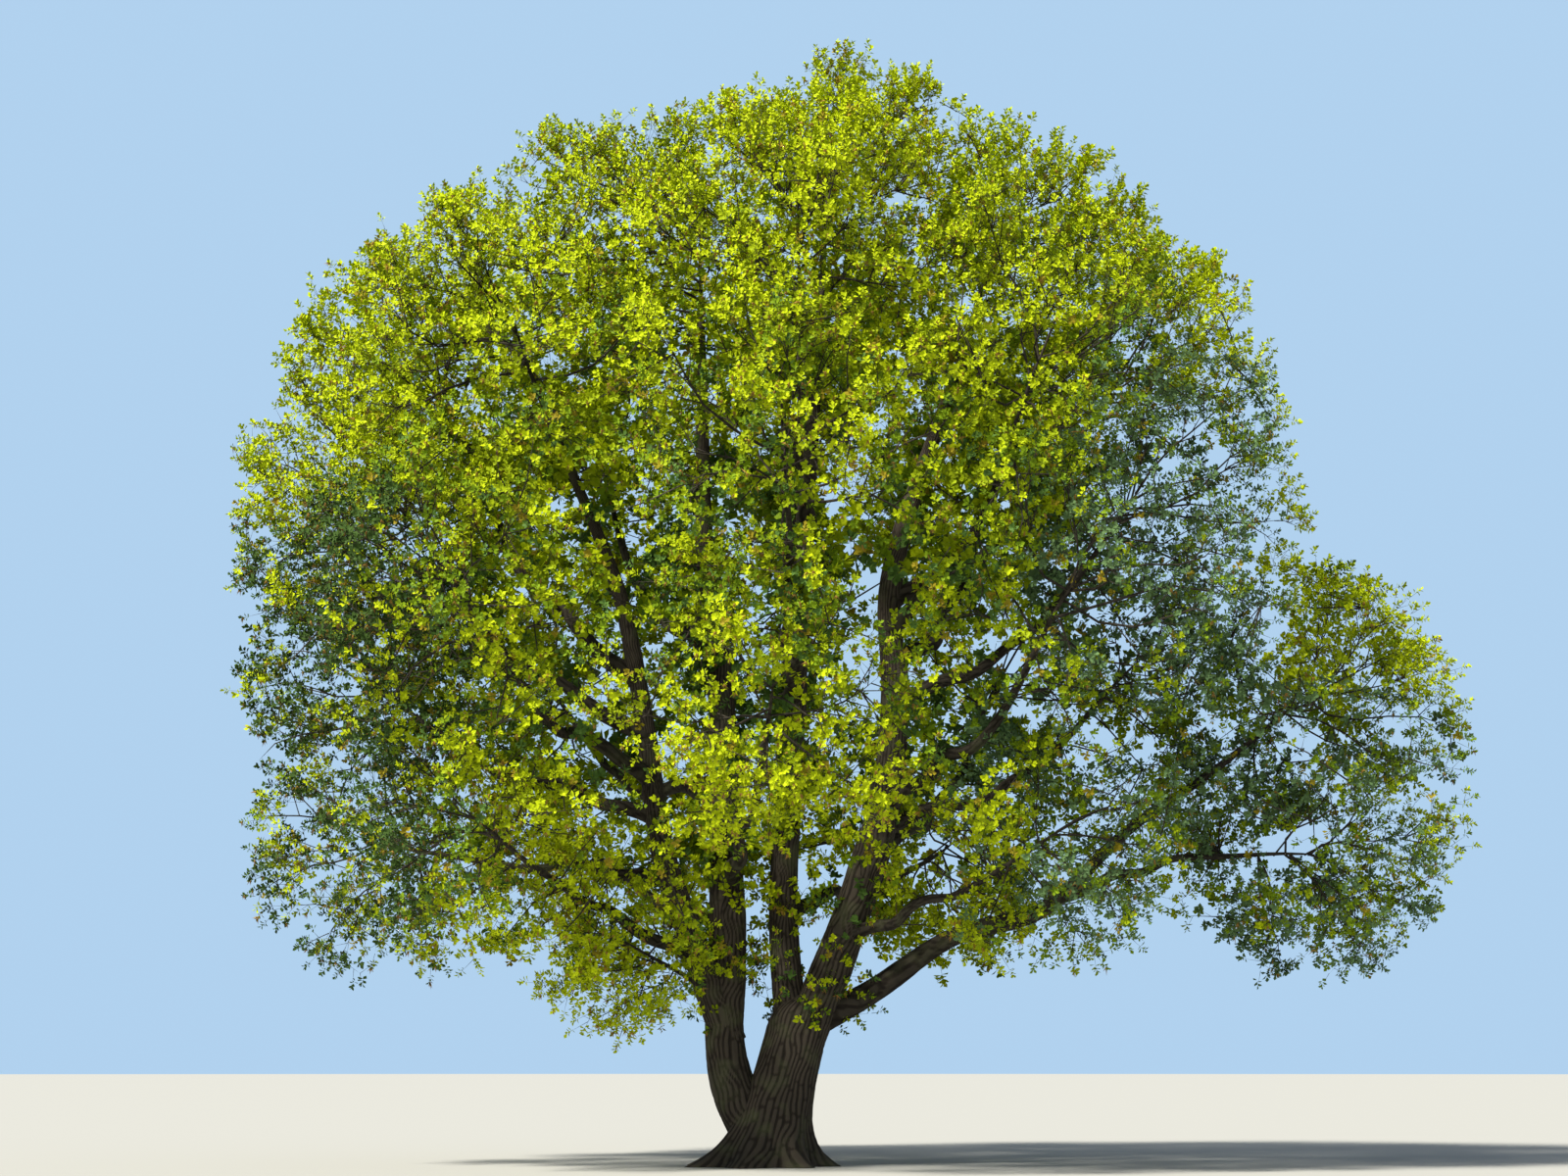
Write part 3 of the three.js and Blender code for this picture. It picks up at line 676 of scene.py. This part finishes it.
def joined_piece(name, parts, material, nodes):
    """One piece from the arrays of many small parts. Every part is (vertices, triangles)."""
    starts = np.cumsum([0] + [len(vertices) for vertices, _ in parts])
    vertices = np.vstack([vertices for vertices, _ in parts])
    triangles = np.vstack([faces + start for (_, faces), start in zip(parts, starts)])
    mesh = bpy.data.meshes.new(name)
    mesh.vertices.add(len(vertices))
    mesh.vertices.foreach_set("co", vertices.astype(np.float32).ravel())
    mesh.loops.add(3 * len(triangles))
    mesh.loops.foreach_set("vertex_index", triangles.astype(np.int32).ravel())
    mesh.polygons.add(len(triangles))
    mesh.polygons.foreach_set("loop_start", np.arange(0, 3 * len(triangles), 3, dtype=np.int32))
    mesh.update(calc_edges=True)
    mesh.materials.append(material)
    piece = bpy.data.objects.new(name, mesh)
    scene.collection.objects.link(piece)
    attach(piece, "root")
    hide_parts(*nodes)


def seen_at(points):
    """Where the camera sees points, in pixels of the photograph."""
    offset = points - CAMERA_PLACE
    ahead = offset[:, 1] * math.cos(CAMERA_TILT) + offset[:, 2] * math.sin(CAMERA_TILT)
    rise = offset[:, 2] * math.cos(CAMERA_TILT) - offset[:, 1] * math.sin(CAMERA_TILT)
    across = FRAME_WIDTH / 2 + FOCAL_LENGTH * offset[:, 0] / ahead
    return across, FRAME_HEIGHT / 2 - FOCAL_LENGTH * rise / ahead


def patches(points):
    """A smooth pattern from about -1 to 1, in patches of a metre or two: parts of the crown differ."""
    return 1.3 * np.sin(points @ PATCH_WAVES.T + np.arange(len(PATCH_WAVES))).mean(axis=1)


def fade(values, start, full):
    """From 0 where values are at the start to 1 where they reach full, eased."""
    return ease(np.clip((values - start) / (full - start), 0, 1))


def openness(points):
    """From 0 in the shade inside the crown to 1 in its outer part."""
    return fade(np.linalg.norm((points - ROUND_MIDDLE) / ROUND_RADII, axis=1), *SHADE)


def share_kept(points):
    """The share of side twigs left at points: few between clumps, inside the crown or in a sky gap."""
    kept = LEFT_INSIDE + (1 - LEFT_INSIDE) * openness(points)
    between_clumps = patches(CLUMP_SCALE * points) < CLUMP_EDGE
    kept *= np.where(between_clumps, np.interp(points[:, 2], *LEFT_BETWEEN_CLUMPS), 1)
    kept *= np.interp(points[:, 1], *LEFT_BEHIND)
    across, down = seen_at(points)
    for middle, height, half_width, half_height, share in SKY_GAPS:
        inside = ((across - middle) / half_width) ** 2 + ((down - height) / half_height) ** 2 < 1
        kept[inside] *= share
    return kept


centres = np.array([mass[4] for mass in MASSES], dtype=float)
ball_radii = np.array([mass[5] for mass in MASSES])


def in_own_space(points, own, swell):
    """True where points lie in the ball of mass own, on its side of the planes between the balls.
    Inside the crown's round, a mass also fills the hollows between its ball and the next ones."""
    depth = ((points[:, None] - centres[None]) ** 2).sum(axis=2) - ball_radii**2
    mine = depth[:, own]
    bumps = 1 + OUTLINE_BUMPS * patches(points)
    in_round = (((points - ROUND_MIDDLE) / ROUND_RADII) ** 2).sum(axis=1) < bumps
    in_round &= points[:, 2] > LOWEST_HOLLOW
    in_round |= (((points - SPREAD_MIDDLE) / SPREAD_RADII) ** 2).sum(axis=1) < 1
    swell = np.where(in_round, HOLLOW_SWELL, swell)
    inside = (mine <= (swell**2 - 1) * ball_radii[own] ** 2) & (points[:, 2] > LOWEST_LEAF)
    return inside & (mine <= depth.min(axis=1) + 1e-9)


def drawn_in(feet, tips, own, kind):
    """The tips, with those outside the mass's own space drawn in towards their feet."""
    share, times = kind["drawn_in"]
    for _ in range(times):
        outside = ~in_own_space(tips, own, TWIG["swell"])
        tips[outside] = feet[outside] + share * (tips[outside] - feet[outside])
    return tips


def ways_round(axes, turns, tilts):
    """Directions at given tilts from each axis, turned round it."""
    aside, across = sideways_of(axes)
    sideways = np.cos(turns)[:, None] * aside + np.sin(turns)[:, None] * across
    return np.cos(tilts)[:, None] * axes + np.sin(tilts)[:, None] * sideways


def bent(starts, ends, points, bend, rng):
    """Crooked lines from starts to ends: a bow and half as much of an S, each to a random side."""
    t = np.linspace(0, 1, points)[None, :, None]
    span = np.linalg.norm(ends - starts, axis=1)[:, None, None]
    bow = unit(rng.normal(size=starts.shape))[:, None] * np.sin(math.pi * t)
    turn = unit(rng.normal(size=starts.shape))[:, None] * np.sin(2 * math.pi * t) / 2
    return starts[:, None] * (1 - t) + ends[:, None] * t + bend * span * (bow + turn)


def twigs_between(feet, tips, kind, sides, rng):
    """Crooked, tapering twigs of a kind, thicker the longer they are: their lines and their wood."""
    lines = bent(feet, tips, kind["points"], kind["bend"], rng)
    thickness = kind["thinnest"] + THICKENING * np.linalg.norm(tips - feet, axis=1)
    taper = np.linspace(1, kind["tip_share"], kind["points"])
    return lines, tube_arrays(lines, thickness[:, None] * taper, sides)


def mass_stem(own):
    """The stem of a mass, from its bearer's tip to just past the middle of the mass."""
    mass, parent, height, rise, _, radius = MASSES[own]
    if rise is None:
        start, _ = at_height(limbs[parent][0], height)
        past = MASS_STEM["overshoot"] * radius * unit(centres[own] - start)
        return start, centres[own] + past, MASS_STEM["shoots_radius"]
    line, radii = limbs[parent if height is None else mass + "_bough"]
    way = unit(line[-1] - line[-2])
    return line[-1], line[-1] + (BOUGH["reach"] + MASS_STEM["overshoot"]) * radius * way, radii[-1]


def grow_twigs(own, start, end, rng):
    """Twigs from the stem of a mass to all sides: their feet, their tips, and their lines and wood."""
    radius = ball_radii[own]
    count = round(TWIG["per_metre"] * radius)
    k = np.arange(count)
    level = 1 - 2 * (k + 0.5) / count
    turn = k * GOLDEN_ANGLE + 2 * math.pi * rng.random()
    around = np.sqrt(1 - level**2)
    outward = TWIG["outward"] * unit(centres[own] - CROWN_MIDDLE)
    ways = unit(np.stack([around * np.cos(turn), around * np.sin(turn), level], axis=1) + outward)
    forward = 0.5 + 0.5 * ways @ unit(end - start)
    first, last = TWIG["feet"]
    feet = start + (first + (last - first) * forward)[:, None] * (end - start)
    reach = radius * rng.uniform(*TWIG["reach"], count)[:, None]
    tips = drawn_in(feet, centres[own] + ways * reach, own, TWIG)
    return feet, tips, *twigs_between(feet, tips, TWIG, 5, rng)


def place_side_twigs(own, feet, tips, lines, rng):
    """Feet and tips of the side twigs, over the outer part of each twig and more towards its tip."""
    count, along = SIDE_TWIG["count"], TWIG["points"] - 1
    twigs = len(lines)
    stray = rng.uniform(-SIDE_TWIG["stray"], SIDE_TWIG["stray"], twigs * count)
    place = np.clip(np.tile(np.linspace(*SIDE_TWIG["places"], count), twigs) + stray, 0.2, 1)
    owner = np.repeat(np.arange(twigs), count)
    segment = np.minimum((place * along).astype(int), along - 1)
    inside = (place * along - segment)[:, None]
    side_feet = lines[owner, segment] * (1 - inside) + lines[owner, segment + 1] * inside
    turns = np.arange(len(owner)) * GOLDEN_ANGLE + rng.uniform(0, 0.6, len(owner))
    tilts = np.where(place > 0.95, SIDE_TWIG["last_tilt"], SIDE_TWIG["tilt"])
    tilts = np.radians(tilts + rng.normal(0, SIDE_TWIG["tilt_stray"], len(owner)))
    ways = ways_round(unit(tips - feet)[owner], turns, tilts)
    radial = unit(side_feet - centres[own])
    ways = unit(ways + SIDE_TWIG["outward"] * radial + np.interp(side_feet[:, 2:], *TWIGS_RISE) * UP)
    longest, shortest = SIDE_TWIG["shorter"]
    lengths = ball_radii[own] / 2.4 * rng.uniform(*SIDE_TWIG["length"], len(owner))
    lengths = lengths * (longest + (shortest - longest) * place)
    side_tips = drawn_in(side_feet, side_feet + ways * lengths[:, None], own, SIDE_TWIG)
    kept = in_own_space(side_tips, own, SIDE_TWIG["swell"])
    kept &= rng.random(len(owner)) < share_kept(side_tips)
    return side_feet[kept], side_tips[kept]


def fill_hollows(own, feet, tips, rng):
    """Feet and tips of further side twigs, from the nearest foot into each hollow that is left."""
    tries = centres[own] + rng.uniform(-HOLLOW_SWELL, HOLLOW_SWELL, (FILL_TRIES, 3)) * ball_radii[own]
    depth = np.linalg.norm((tries - ROUND_MIDDLE) / ROUND_RADII, axis=1)
    good = in_own_space(tries, own, SIDE_TWIG["swell"]) & (rng.random(FILL_TRIES) < share_kept(tries))
    tries = tries[good & (depth > SHADE[0])]
    found = []
    for place in tries:
        clearance = np.interp(place[2], *FILL_CLEARANCE)
        clearance *= np.interp(place[0], *FILL_NEAR_SPREAD) * np.interp(place[1], *FILL_BEHIND)
        if np.linalg.norm(tips - place, axis=1).min() > clearance:
            foot = feet[np.linalg.norm(feet - place, axis=1).argmin()]
            if np.linalg.norm(foot - place) < FILL_LENGTH:
                tips = np.vstack([tips, place])
                found.append((foot, place))
    found = np.array(found).reshape(-1, 2, 3)
    return found[:, 0], found[:, 1]


def grow_puffs(side_twigs, centres_of_growth, rng):
    """Short shoots over the outer half of each side twig, spread to all sides, outward and up."""
    twigs = len(side_twigs)
    puff = np.repeat(np.arange(twigs), SHOOT["count"])
    number = np.tile(np.arange(SHOOT["count"]), twigs)
    stray = rng.uniform(-SHOOT["stray"], SHOOT["stray"], len(puff))
    place = np.clip(1 - SHOOT["stretch"] * number / SHOOT["count"] + stray, 0.2, 1)
    half = (place * 2 - 1)[:, None]
    outer = np.where(half > 0, side_twigs[puff, 2], side_twigs[puff, 0])
    feet = side_twigs[puff, 1] * (1 - np.abs(half)) + outer * np.abs(half)
    axes = unit(side_twigs[puff, -1] - side_twigs[puff, 0])
    tilts = np.where(number == 0, SHOOT["last_tilt"], SHOOT["tilt"])
    tilts = np.radians(tilts + rng.normal(0, SHOOT["tilt_stray"], len(puff)))
    ways = ways_round(axes, number * GOLDEN_ANGLE * 1.6 + puff * 2.1, tilts)
    away = unit(feet - np.broadcast_to(centres_of_growth, (twigs, 3))[puff])
    rise = np.interp(feet[:, 2:], *TWIGS_RISE)
    ways = unit(ways + rise * UP + 0.2 * away + 0.3 * unit(feet - CROWN_MIDDLE))
    tips = feet + ways * rng.uniform(*SHOOT["length"], len(puff))[:, None]
    return {"lines": np.stack([feet, tips], axis=1), "ways": ways, "puff": puff}


def grow_leafy_twigs(feet, tips, centres_of_growth, rng):
    """Side twigs with their puffs: the wood of both as arrays, and the shoots."""
    side_twigs, wood = twigs_between(feet, tips, SIDE_TWIG, 3, rng)
    shoots = grow_puffs(side_twigs, centres_of_growth, rng)
    shoot_radii = np.full((len(shoots["lines"]), 2), SHOOT["radius"])
    return [wood, tube_arrays(shoots["lines"], shoot_radii, 3)], shoots


def grow_mass(own, rng):
    """Grows a mass. Returns its wood as arrays, and its shoots."""
    start, end, thickness = mass_stem(own)
    stem = bent(start[None], end[None], MASS_STEM["points"], MASS_STEM["bend"], rng)
    stem_radii = np.linspace(thickness, MASS_STEM["tip_radius"], MASS_STEM["points"])[None]
    wood = [tube_arrays(stem, stem_radii, 9)]
    feet, tips, lines, twig_wood = grow_twigs(own, start, end, rng)
    side_feet, side_tips = place_side_twigs(own, feet, tips, lines, rng)
    more_feet, more_tips = fill_hollows(own, lines[:, 2:].reshape(-1, 3), side_tips, rng)
    side_feet, side_tips = np.vstack([side_feet, more_feet]), np.vstack([side_tips, more_tips])
    leafy_wood, shoots = grow_leafy_twigs(side_feet, side_tips, centres[own], rng)
    return [*wood, twig_wood, *leafy_wood], shoots


def twig_material():
    material, principled, tree = shader("twig_wood", Roughness=0.85, Specular_IOR_Level=0.3)
    place = wire(tree, "ShaderNodeTexCoord").outputs["Object"]
    spots = way_between(tree, noise(tree, place, 14.0, 3.0), 0.35, 0.65)
    colour = mix(tree, spots, *TWIG_BROWNS)
    tree.links.new(colour, principled.inputs["Base Color"])
    return material


twig_bark = twig_material()

# The leaves: thin rounded blades in spring green, in rosettes round the tips of the shoots. Those in the
# crown's shade and at its back are fewer and larger.
LEAF = {
    "count": 9,  # in a rosette
    "length": (0.064, 0.106),
    "inner_length": 0.85,  # of the first leaf in a rosette, as a share of the last one's
    "in_shade": 2.2,  # times the length
    "behind": ((-0.5, 3), (1, 1.5)),  # times the length, from front to back
    "tilt": (32, 88),
    "tilt_stray": 8,
    "facing": 0.45,  # how strongly rosettes turn to the light, away from the middle of the crown
    "rise": 0.12,
    "root_step": 0.1,  # metres over which a rosette's leaves spring from its shoot
    "roll": 0.25,
    "outline": [(0, 0, 0), (0.64, 0.33, 0.1), (1, 0.02, -0.04), (0.6, -0.33, 0.1)],  # forward, aside, up
    "faces": [(0, 2, 1), (0, 3, 2)],
}
# Leaf colours. The first four are the leaves' own tints, but where they are dealt out also paints light
# and shade: the yellower ones on lit parts, the greener ones in shade. The last two are copies of the deep
# green as painted shade: a blue one lit by the sky on the right, and a darker one on the left.
TINTS = {
    "lime": (0.43, 0.52, 0.006),
    "yellow_green": (0.28, 0.36, 0.006),
    "fresh_green": (0.16, 0.25, 0.008),
    "deep_green": (0.08, 0.155, 0.03),
    "bronze": (0.27, 0.22, 0.015),
    "painted_shade_blue_green": (0.11, 0.19, 0.075),
    "painted_shade_dark_green": (0.05, 0.095, 0.02),
}
TINT_NAMES = list(TINTS)
TINT_SHARES = np.array([0.3, 0.34, 0.25, 0.11])  # of the first four
BRONZE_SHARE = 0.03  # of the rosettes
ROSETTE_SHARE = 0.45  # of the chance in a rosette's tint, beside that of its puff
# How much yellower than those shares the leaves are: all_over and in_patches as their own tint, while
# upward, outward and in_clumps are painted light, yellower at the top, outside and in clumps, and painted
# shade, greener low, inside and between clumps.
YELLOWER_WITH_PAINTED_LIGHT = {
    "all_over": 0.06,
    "upward": 0.0375,  # for each metre above the even height
    "outward": 0.12,  # for each metre past the even distance from the crown's middle
    "in_patches": 0.16,
    "in_clumps": ((8, 12), (0.46, 0.34)),  # by height
}
EVEN_HEIGHT = 8
EVEN_DISTANCE = 6.8
CLUMP_CONTRAST = 3
CLUMP_LIMITS = (-1, 0.6)
TURNED_AWAY = (0.3, 2.5)  # metres to the right, at the ground, over which the crown turns from the sun
TURNED_AWAY_SLOPE = 0.3  # metres farther to the right for each metre up
# Painted shade there: how much greener the leaves are, by height.
PAINTED_SHADE_TURNED_AWAY = ((6.5, 9.5), (0.25, 0.5))  # by height
# Below this, deep green leaves turned from the sun take the blue copy, as painted shade lit by the sky.
PAINTED_BLUE_SHADE_BELOW = 8  # metres up in the middle of the picture, where it is turned from the sun
PAINTED_BLUE_SHADE_SLOPE = 0.7  # metres higher for each metre to the right
# A stretch on the left whose leaves carry painted shade: greener, and their deep green darker.
LEFT_SHADE = {"across": (-4.2, -6.2), "up": (10.6, 9)}
STANDS_OUT = 0.3  # how strong a clump is that stands out of that shade
PAINTED_LEFT_SHADE = (0.2, 1.5)  # in such clumps, and between them
# Parts of the crown with painted light: yellower than their surroundings as painted sunlight, or greener
# as painted shade where the value is below 0.
PAINTED_LIGHT_PARTS = [
    (-0.45, {"across": (6, 8), "up": (7.6, 6.8)}),  # the underside of the spread
    (0.45, {"across": (-4.8, -2.8), "up": (7, 5.2), "left_of": 4}),  # the low boughs in front
    (-0.4, {"across": (4.8, 6), "above": 7.6, "below": 12.4}),  # the right flank
    (1.0, {"right_of": 8.1, "above": 7.5}),  # the top of the spread
    (0.55, {"right_of": 6.6, "above": 12.4}),  # the right shoulder
]


def leaves_of(shoots, rng):
    """The leaves of all shoots as arrays of (leaves, corners, 3), with each leaf's rosette."""
    tips = shoots["lines"][:, 1]
    rosette = np.repeat(np.arange(len(tips)), LEAF["count"])
    number = np.tile(np.arange(LEAF["count"]), len(tips))
    share = number / (LEAF["count"] - 1)
    axes = unit(shoots["ways"] + LEAF["facing"] * unit(tips - CROWN_MIDDLE))[rosette]
    flattest, steepest = LEAF["tilt"]
    tilts = flattest + (steepest - flattest) * share + rng.normal(0, LEAF["tilt_stray"], len(rosette))
    turns = number * GOLDEN_ANGLE + rosette * 1.3 + rng.uniform(0, 0.5, len(rosette))
    along = unit(ways_round(axes, turns, np.radians(tilts)) + LEAF["rise"] * UP)
    shaded = 1 + (LEAF["in_shade"] - 1) * (1 - openness(tips))
    larger = np.maximum(shaded, np.interp(tips[:, 1], *LEAF["behind"]))
    lengths = rng.uniform(*LEAF["length"], len(rosette)) * larger[rosette]
    lengths = lengths * (LEAF["inner_length"] + (1 - LEAF["inner_length"]) * share)
    roots = tips[rosette] - axes * (LEAF["root_step"] * share)[:, None]
    face = unit(axes + rng.normal(0, LEAF["roll"], axes.shape))
    across = unit(np.cross(face, along))
    ways = np.stack([along, across, np.cross(along, across)], axis=1)
    return roots[:, None] + lengths[:, None, None] * (np.array(LEAF["outline"]) @ ways), rosette


def leaf_arrays(corners):
    offsets = np.arange(len(corners))[:, None, None] * corners.shape[1]
    return corners.reshape(-1, 3), (np.array(LEAF["faces"])[None] + offsets).reshape(-1, 3)


def part_of_crown(places, across=None, up=None, left_of=inf, right_of=-inf, above=-inf, below=inf):
    """From 0 outside a part of the crown to 1 in it. Across and up are stretches over which it sets in."""
    x, z = places[:, 0], places[:, 2]
    share = ((x < left_of) & (x > right_of) & (z > above) & (z < below)).astype(float)
    if across:
        share *= fade(x, *across)
    if up:
        share *= fade(z, *up)
    return share


def tints_of(shoots, rng):
    """The number of a tint for each rosette, by chance and in patches, with light and shade painted in:
    yellower at the top, outside and in sunlit parts, greener inside, low and in shaded parts. As painted
    shade, the deepest green turns blue where the crown turns away from the sun, and darker in the left
    shade."""
    places = shoots["lines"][:, 1]
    across, height = places[:, 0], places[:, 2]
    clumps = patches(CLUMP_SCALE * places)
    turned_away = fade(across - TURNED_AWAY_SLOPE * height, *TURNED_AWAY)
    left_shade = part_of_crown(places, **LEFT_SHADE)
    distance = np.linalg.norm(places - CROWN_MIDDLE, axis=1)
    # light: painted sunlight and shade, besides the leaves' own tint all over and in patches.
    light = YELLOWER_WITH_PAINTED_LIGHT["upward"] * (height - EVEN_HEIGHT) + YELLOWER_WITH_PAINTED_LIGHT["outward"] * (distance - EVEN_DISTANCE)
    light += YELLOWER_WITH_PAINTED_LIGHT["all_over"] + YELLOWER_WITH_PAINTED_LIGHT["in_patches"] * patches(places)
    light += np.interp(height, *YELLOWER_WITH_PAINTED_LIGHT["in_clumps"]) * np.clip(CLUMP_CONTRAST * clumps, *CLUMP_LIMITS)
    light -= np.interp(height, *PAINTED_SHADE_TURNED_AWAY) * turned_away
    light -= left_shade * np.where(clumps > STANDS_OUT, *PAINTED_LEFT_SHADE)
    for yellower, part in PAINTED_LIGHT_PARTS:
        light += yellower * part_of_crown(places, **part)

    draw = (1 - ROSETTE_SHARE) * rng.random(shoots["puff"].max(initial=0) + 1)[shoots["puff"]]
    draw = np.clip(draw + ROSETTE_SHARE * rng.random(len(places)) - light, 0, 0.9999)
    bronze = rng.random(len(places)) < BRONZE_SHARE
    numbers = np.where(bronze, TINT_NAMES.index("bronze"), np.searchsorted(np.cumsum(TINT_SHARES), draw))
    # Painted shade: deep green leaves take the blue copy where the crown is turned from the sun, and the
    # darker copy in the left shade.
    deep = numbers == TINT_NAMES.index("deep_green")
    painted_blue_shade = deep & (turned_away > 0.4) & (height < PAINTED_BLUE_SHADE_BELOW + PAINTED_BLUE_SHADE_SLOPE * across)
    numbers[painted_blue_shade] = TINT_NAMES.index("painted_shade_blue_green")
    numbers[deep & (left_shade > 0.3)] = TINT_NAMES.index("painted_shade_dark_green")
    return numbers


leaf_materials = {
    tint: shader("leaf_" + tint, Base_Color=(*colour, 1), Roughness=0.6, Specular_IOR_Level=0.08)[0]
    for tint, colour in TINTS.items()
}

# The catkins: the oak's small bronze tassels of blossom, in bunches under some of the rosettes, most of
# them on the side of the crown that has the sun.
CATKIN_LENGTH = (0.06, 0.12)
CATKIN_RADIUS = 0.014
CATKINS_PER_BUNCH = 4
CATKIN_SHARE = 0.22  # of the rosettes on the sunny side
SUNNY_SIDE_ENDS = 3  # metres to the right
CATKINS_IN_SHADE = 0.3  # times as many of them beyond that


def catkins_of(shoots, rng):
    """The catkins of all shoots as arrays: thin spikes that hang from the rosettes' roots."""
    tips = shoots["lines"][:, 1]
    share = CATKIN_SHARE * np.where(tips[:, 0] < SUNNY_SIDE_ENDS, 1, CATKINS_IN_SHADE)
    feet = np.repeat(tips[rng.random(len(tips)) < share], CATKINS_PER_BUNCH, axis=0)
    ways = unit(rng.normal(0, 0.5, feet.shape) - UP)
    lines = np.stack([feet, feet + ways * rng.uniform(*CATKIN_LENGTH, len(feet))[:, None]], axis=1)
    return tube_arrays(lines, np.full((len(lines), 2), CATKIN_RADIUS), 3)


catkin_material = shader("catkin", Base_Color=(0.36, 0.2, 0.035, 1), Roughness=0.8)[0]

# The crown: the thirty masses grow one by one, with leafy sprays straight on the limbs that bear them, and
# are joined in groups, each as a piece of twigs, one of catkins, and one of leaves for each tint.
GROUPS = {
    "top": ["crown_top", "top_right", "top_left", "front_top", "back_top"],
    "front": ["front_upper_left", "front_upper_right", "front_middle", "front_right", "front_left"],
    "front_low": ["front_low_middle", "front_low_left", "front_low_right"],
    "right": ["right_shoulder", "right_upper_side", "right_side", "right_spread", "right_low_spread"],
    "left": ["left_shoulder", "left_upper_side", "left_side", "left_low_side"],
    "back": ["back_upper_right", "back_upper_left", "back_middle"],
    "back_low": ["back_right", "back_left", "back_low_left", "back_low_right"],
    "stem": ["stem_shoots"],
}
# Sprays: the stretch of the limb that bears them, as shares of it, their spacing and their lengths.
BOUGH_SPRAYS = ((0.3, 1), 0.32, (0.5, 1.2))
UPPER_STEM_SPRAYS = ((0.5, 1), 0.16, (0.5, 1.2))
LOWER_STEM_SPRAYS = ((0.06, 0.5), 0.13, (0.3, 0.85))
BOLE_SPRAYS = ((0.6, 0.95), 0.12, (0.6, 1.0))
SPRAY_TILT = (50, 85)
SPRAY_RISE = 0.45
LOWEST_SPRAY = 2.3


def grow_sprays(limb, sprays, rng):
    """Leafy side twigs straight on a limb, to all sides and upward."""
    (low, high), spacing, lengths = sprays
    line, radii = limbs[limb]
    count = int(length_of(line) * (high - low) / spacing)
    index = (rng.uniform(low, high, count) * (len(line) - 1)).astype(int)
    along, _, _ = frames_along(line)
    tilts = np.radians(rng.uniform(*SPRAY_TILT, count))
    ways = unit(ways_round(along[index], np.arange(count) * GOLDEN_ANGLE, tilts) + SPRAY_RISE * UP)
    tips = line[index] + ways * (radii[index] + rng.uniform(*lengths, count))[:, None]
    kept = (rng.random(count) < share_kept(tips)) & (tips[:, 2] > LOWEST_SPRAY)
    feet = line[index][kept]
    return grow_leafy_twigs(feet, tips[kept], feet, rng)


def grow_with_limb(own, rng):
    """Grows a mass and the sprays on the limbs next to it."""
    growth = [grow_mass(own, rng)]
    mass, stem = MASSES[own][:2]
    if mass + "_bough" in limbs:
        growth.append(grow_sprays(mass + "_bough", BOUGH_SPRAYS, rng))
    elif mass == "stem_shoots":
        growth += [grow_sprays(name, LOWER_STEM_SPRAYS, rng) for name in STEMS]
        growth.append(grow_sprays("bole", BOLE_SPRAYS, rng))
    else:
        growth.append(grow_sprays(stem, UPPER_STEM_SPRAYS, rng))
    return growth


mass_names = [mass[0] for mass in MASSES]
for group, members in GROUPS.items():
    wood, catkins, leaves = [], [], {tint: [] for tint in TINTS}
    for member in members:
        own = mass_names.index(member)
        rng = np.random.default_rng(1000 + own)
        for grown, shoots in grow_with_limb(own, rng):
            wood += grown
            catkins.append(catkins_of(shoots, rng))
            corners, rosette = leaves_of(shoots, rng)
            numbers = tints_of(shoots, rng)[rosette]
            for number, tint in enumerate(TINTS):
                leaves[tint].append(leaf_arrays(corners[numbers == number]))
    nodes = [member + "_foliage" for member in members]
    joined_piece(group + "_twigs", wood, twig_bark, nodes)
    joined_piece(group + "_catkins", catkins, catkin_material, nodes)
    for tint, parts in leaves.items():
        if any(len(vertices) for vertices, _ in parts):
            joined_piece(group + "_leaves_" + tint, parts, leaf_materials[tint], nodes)
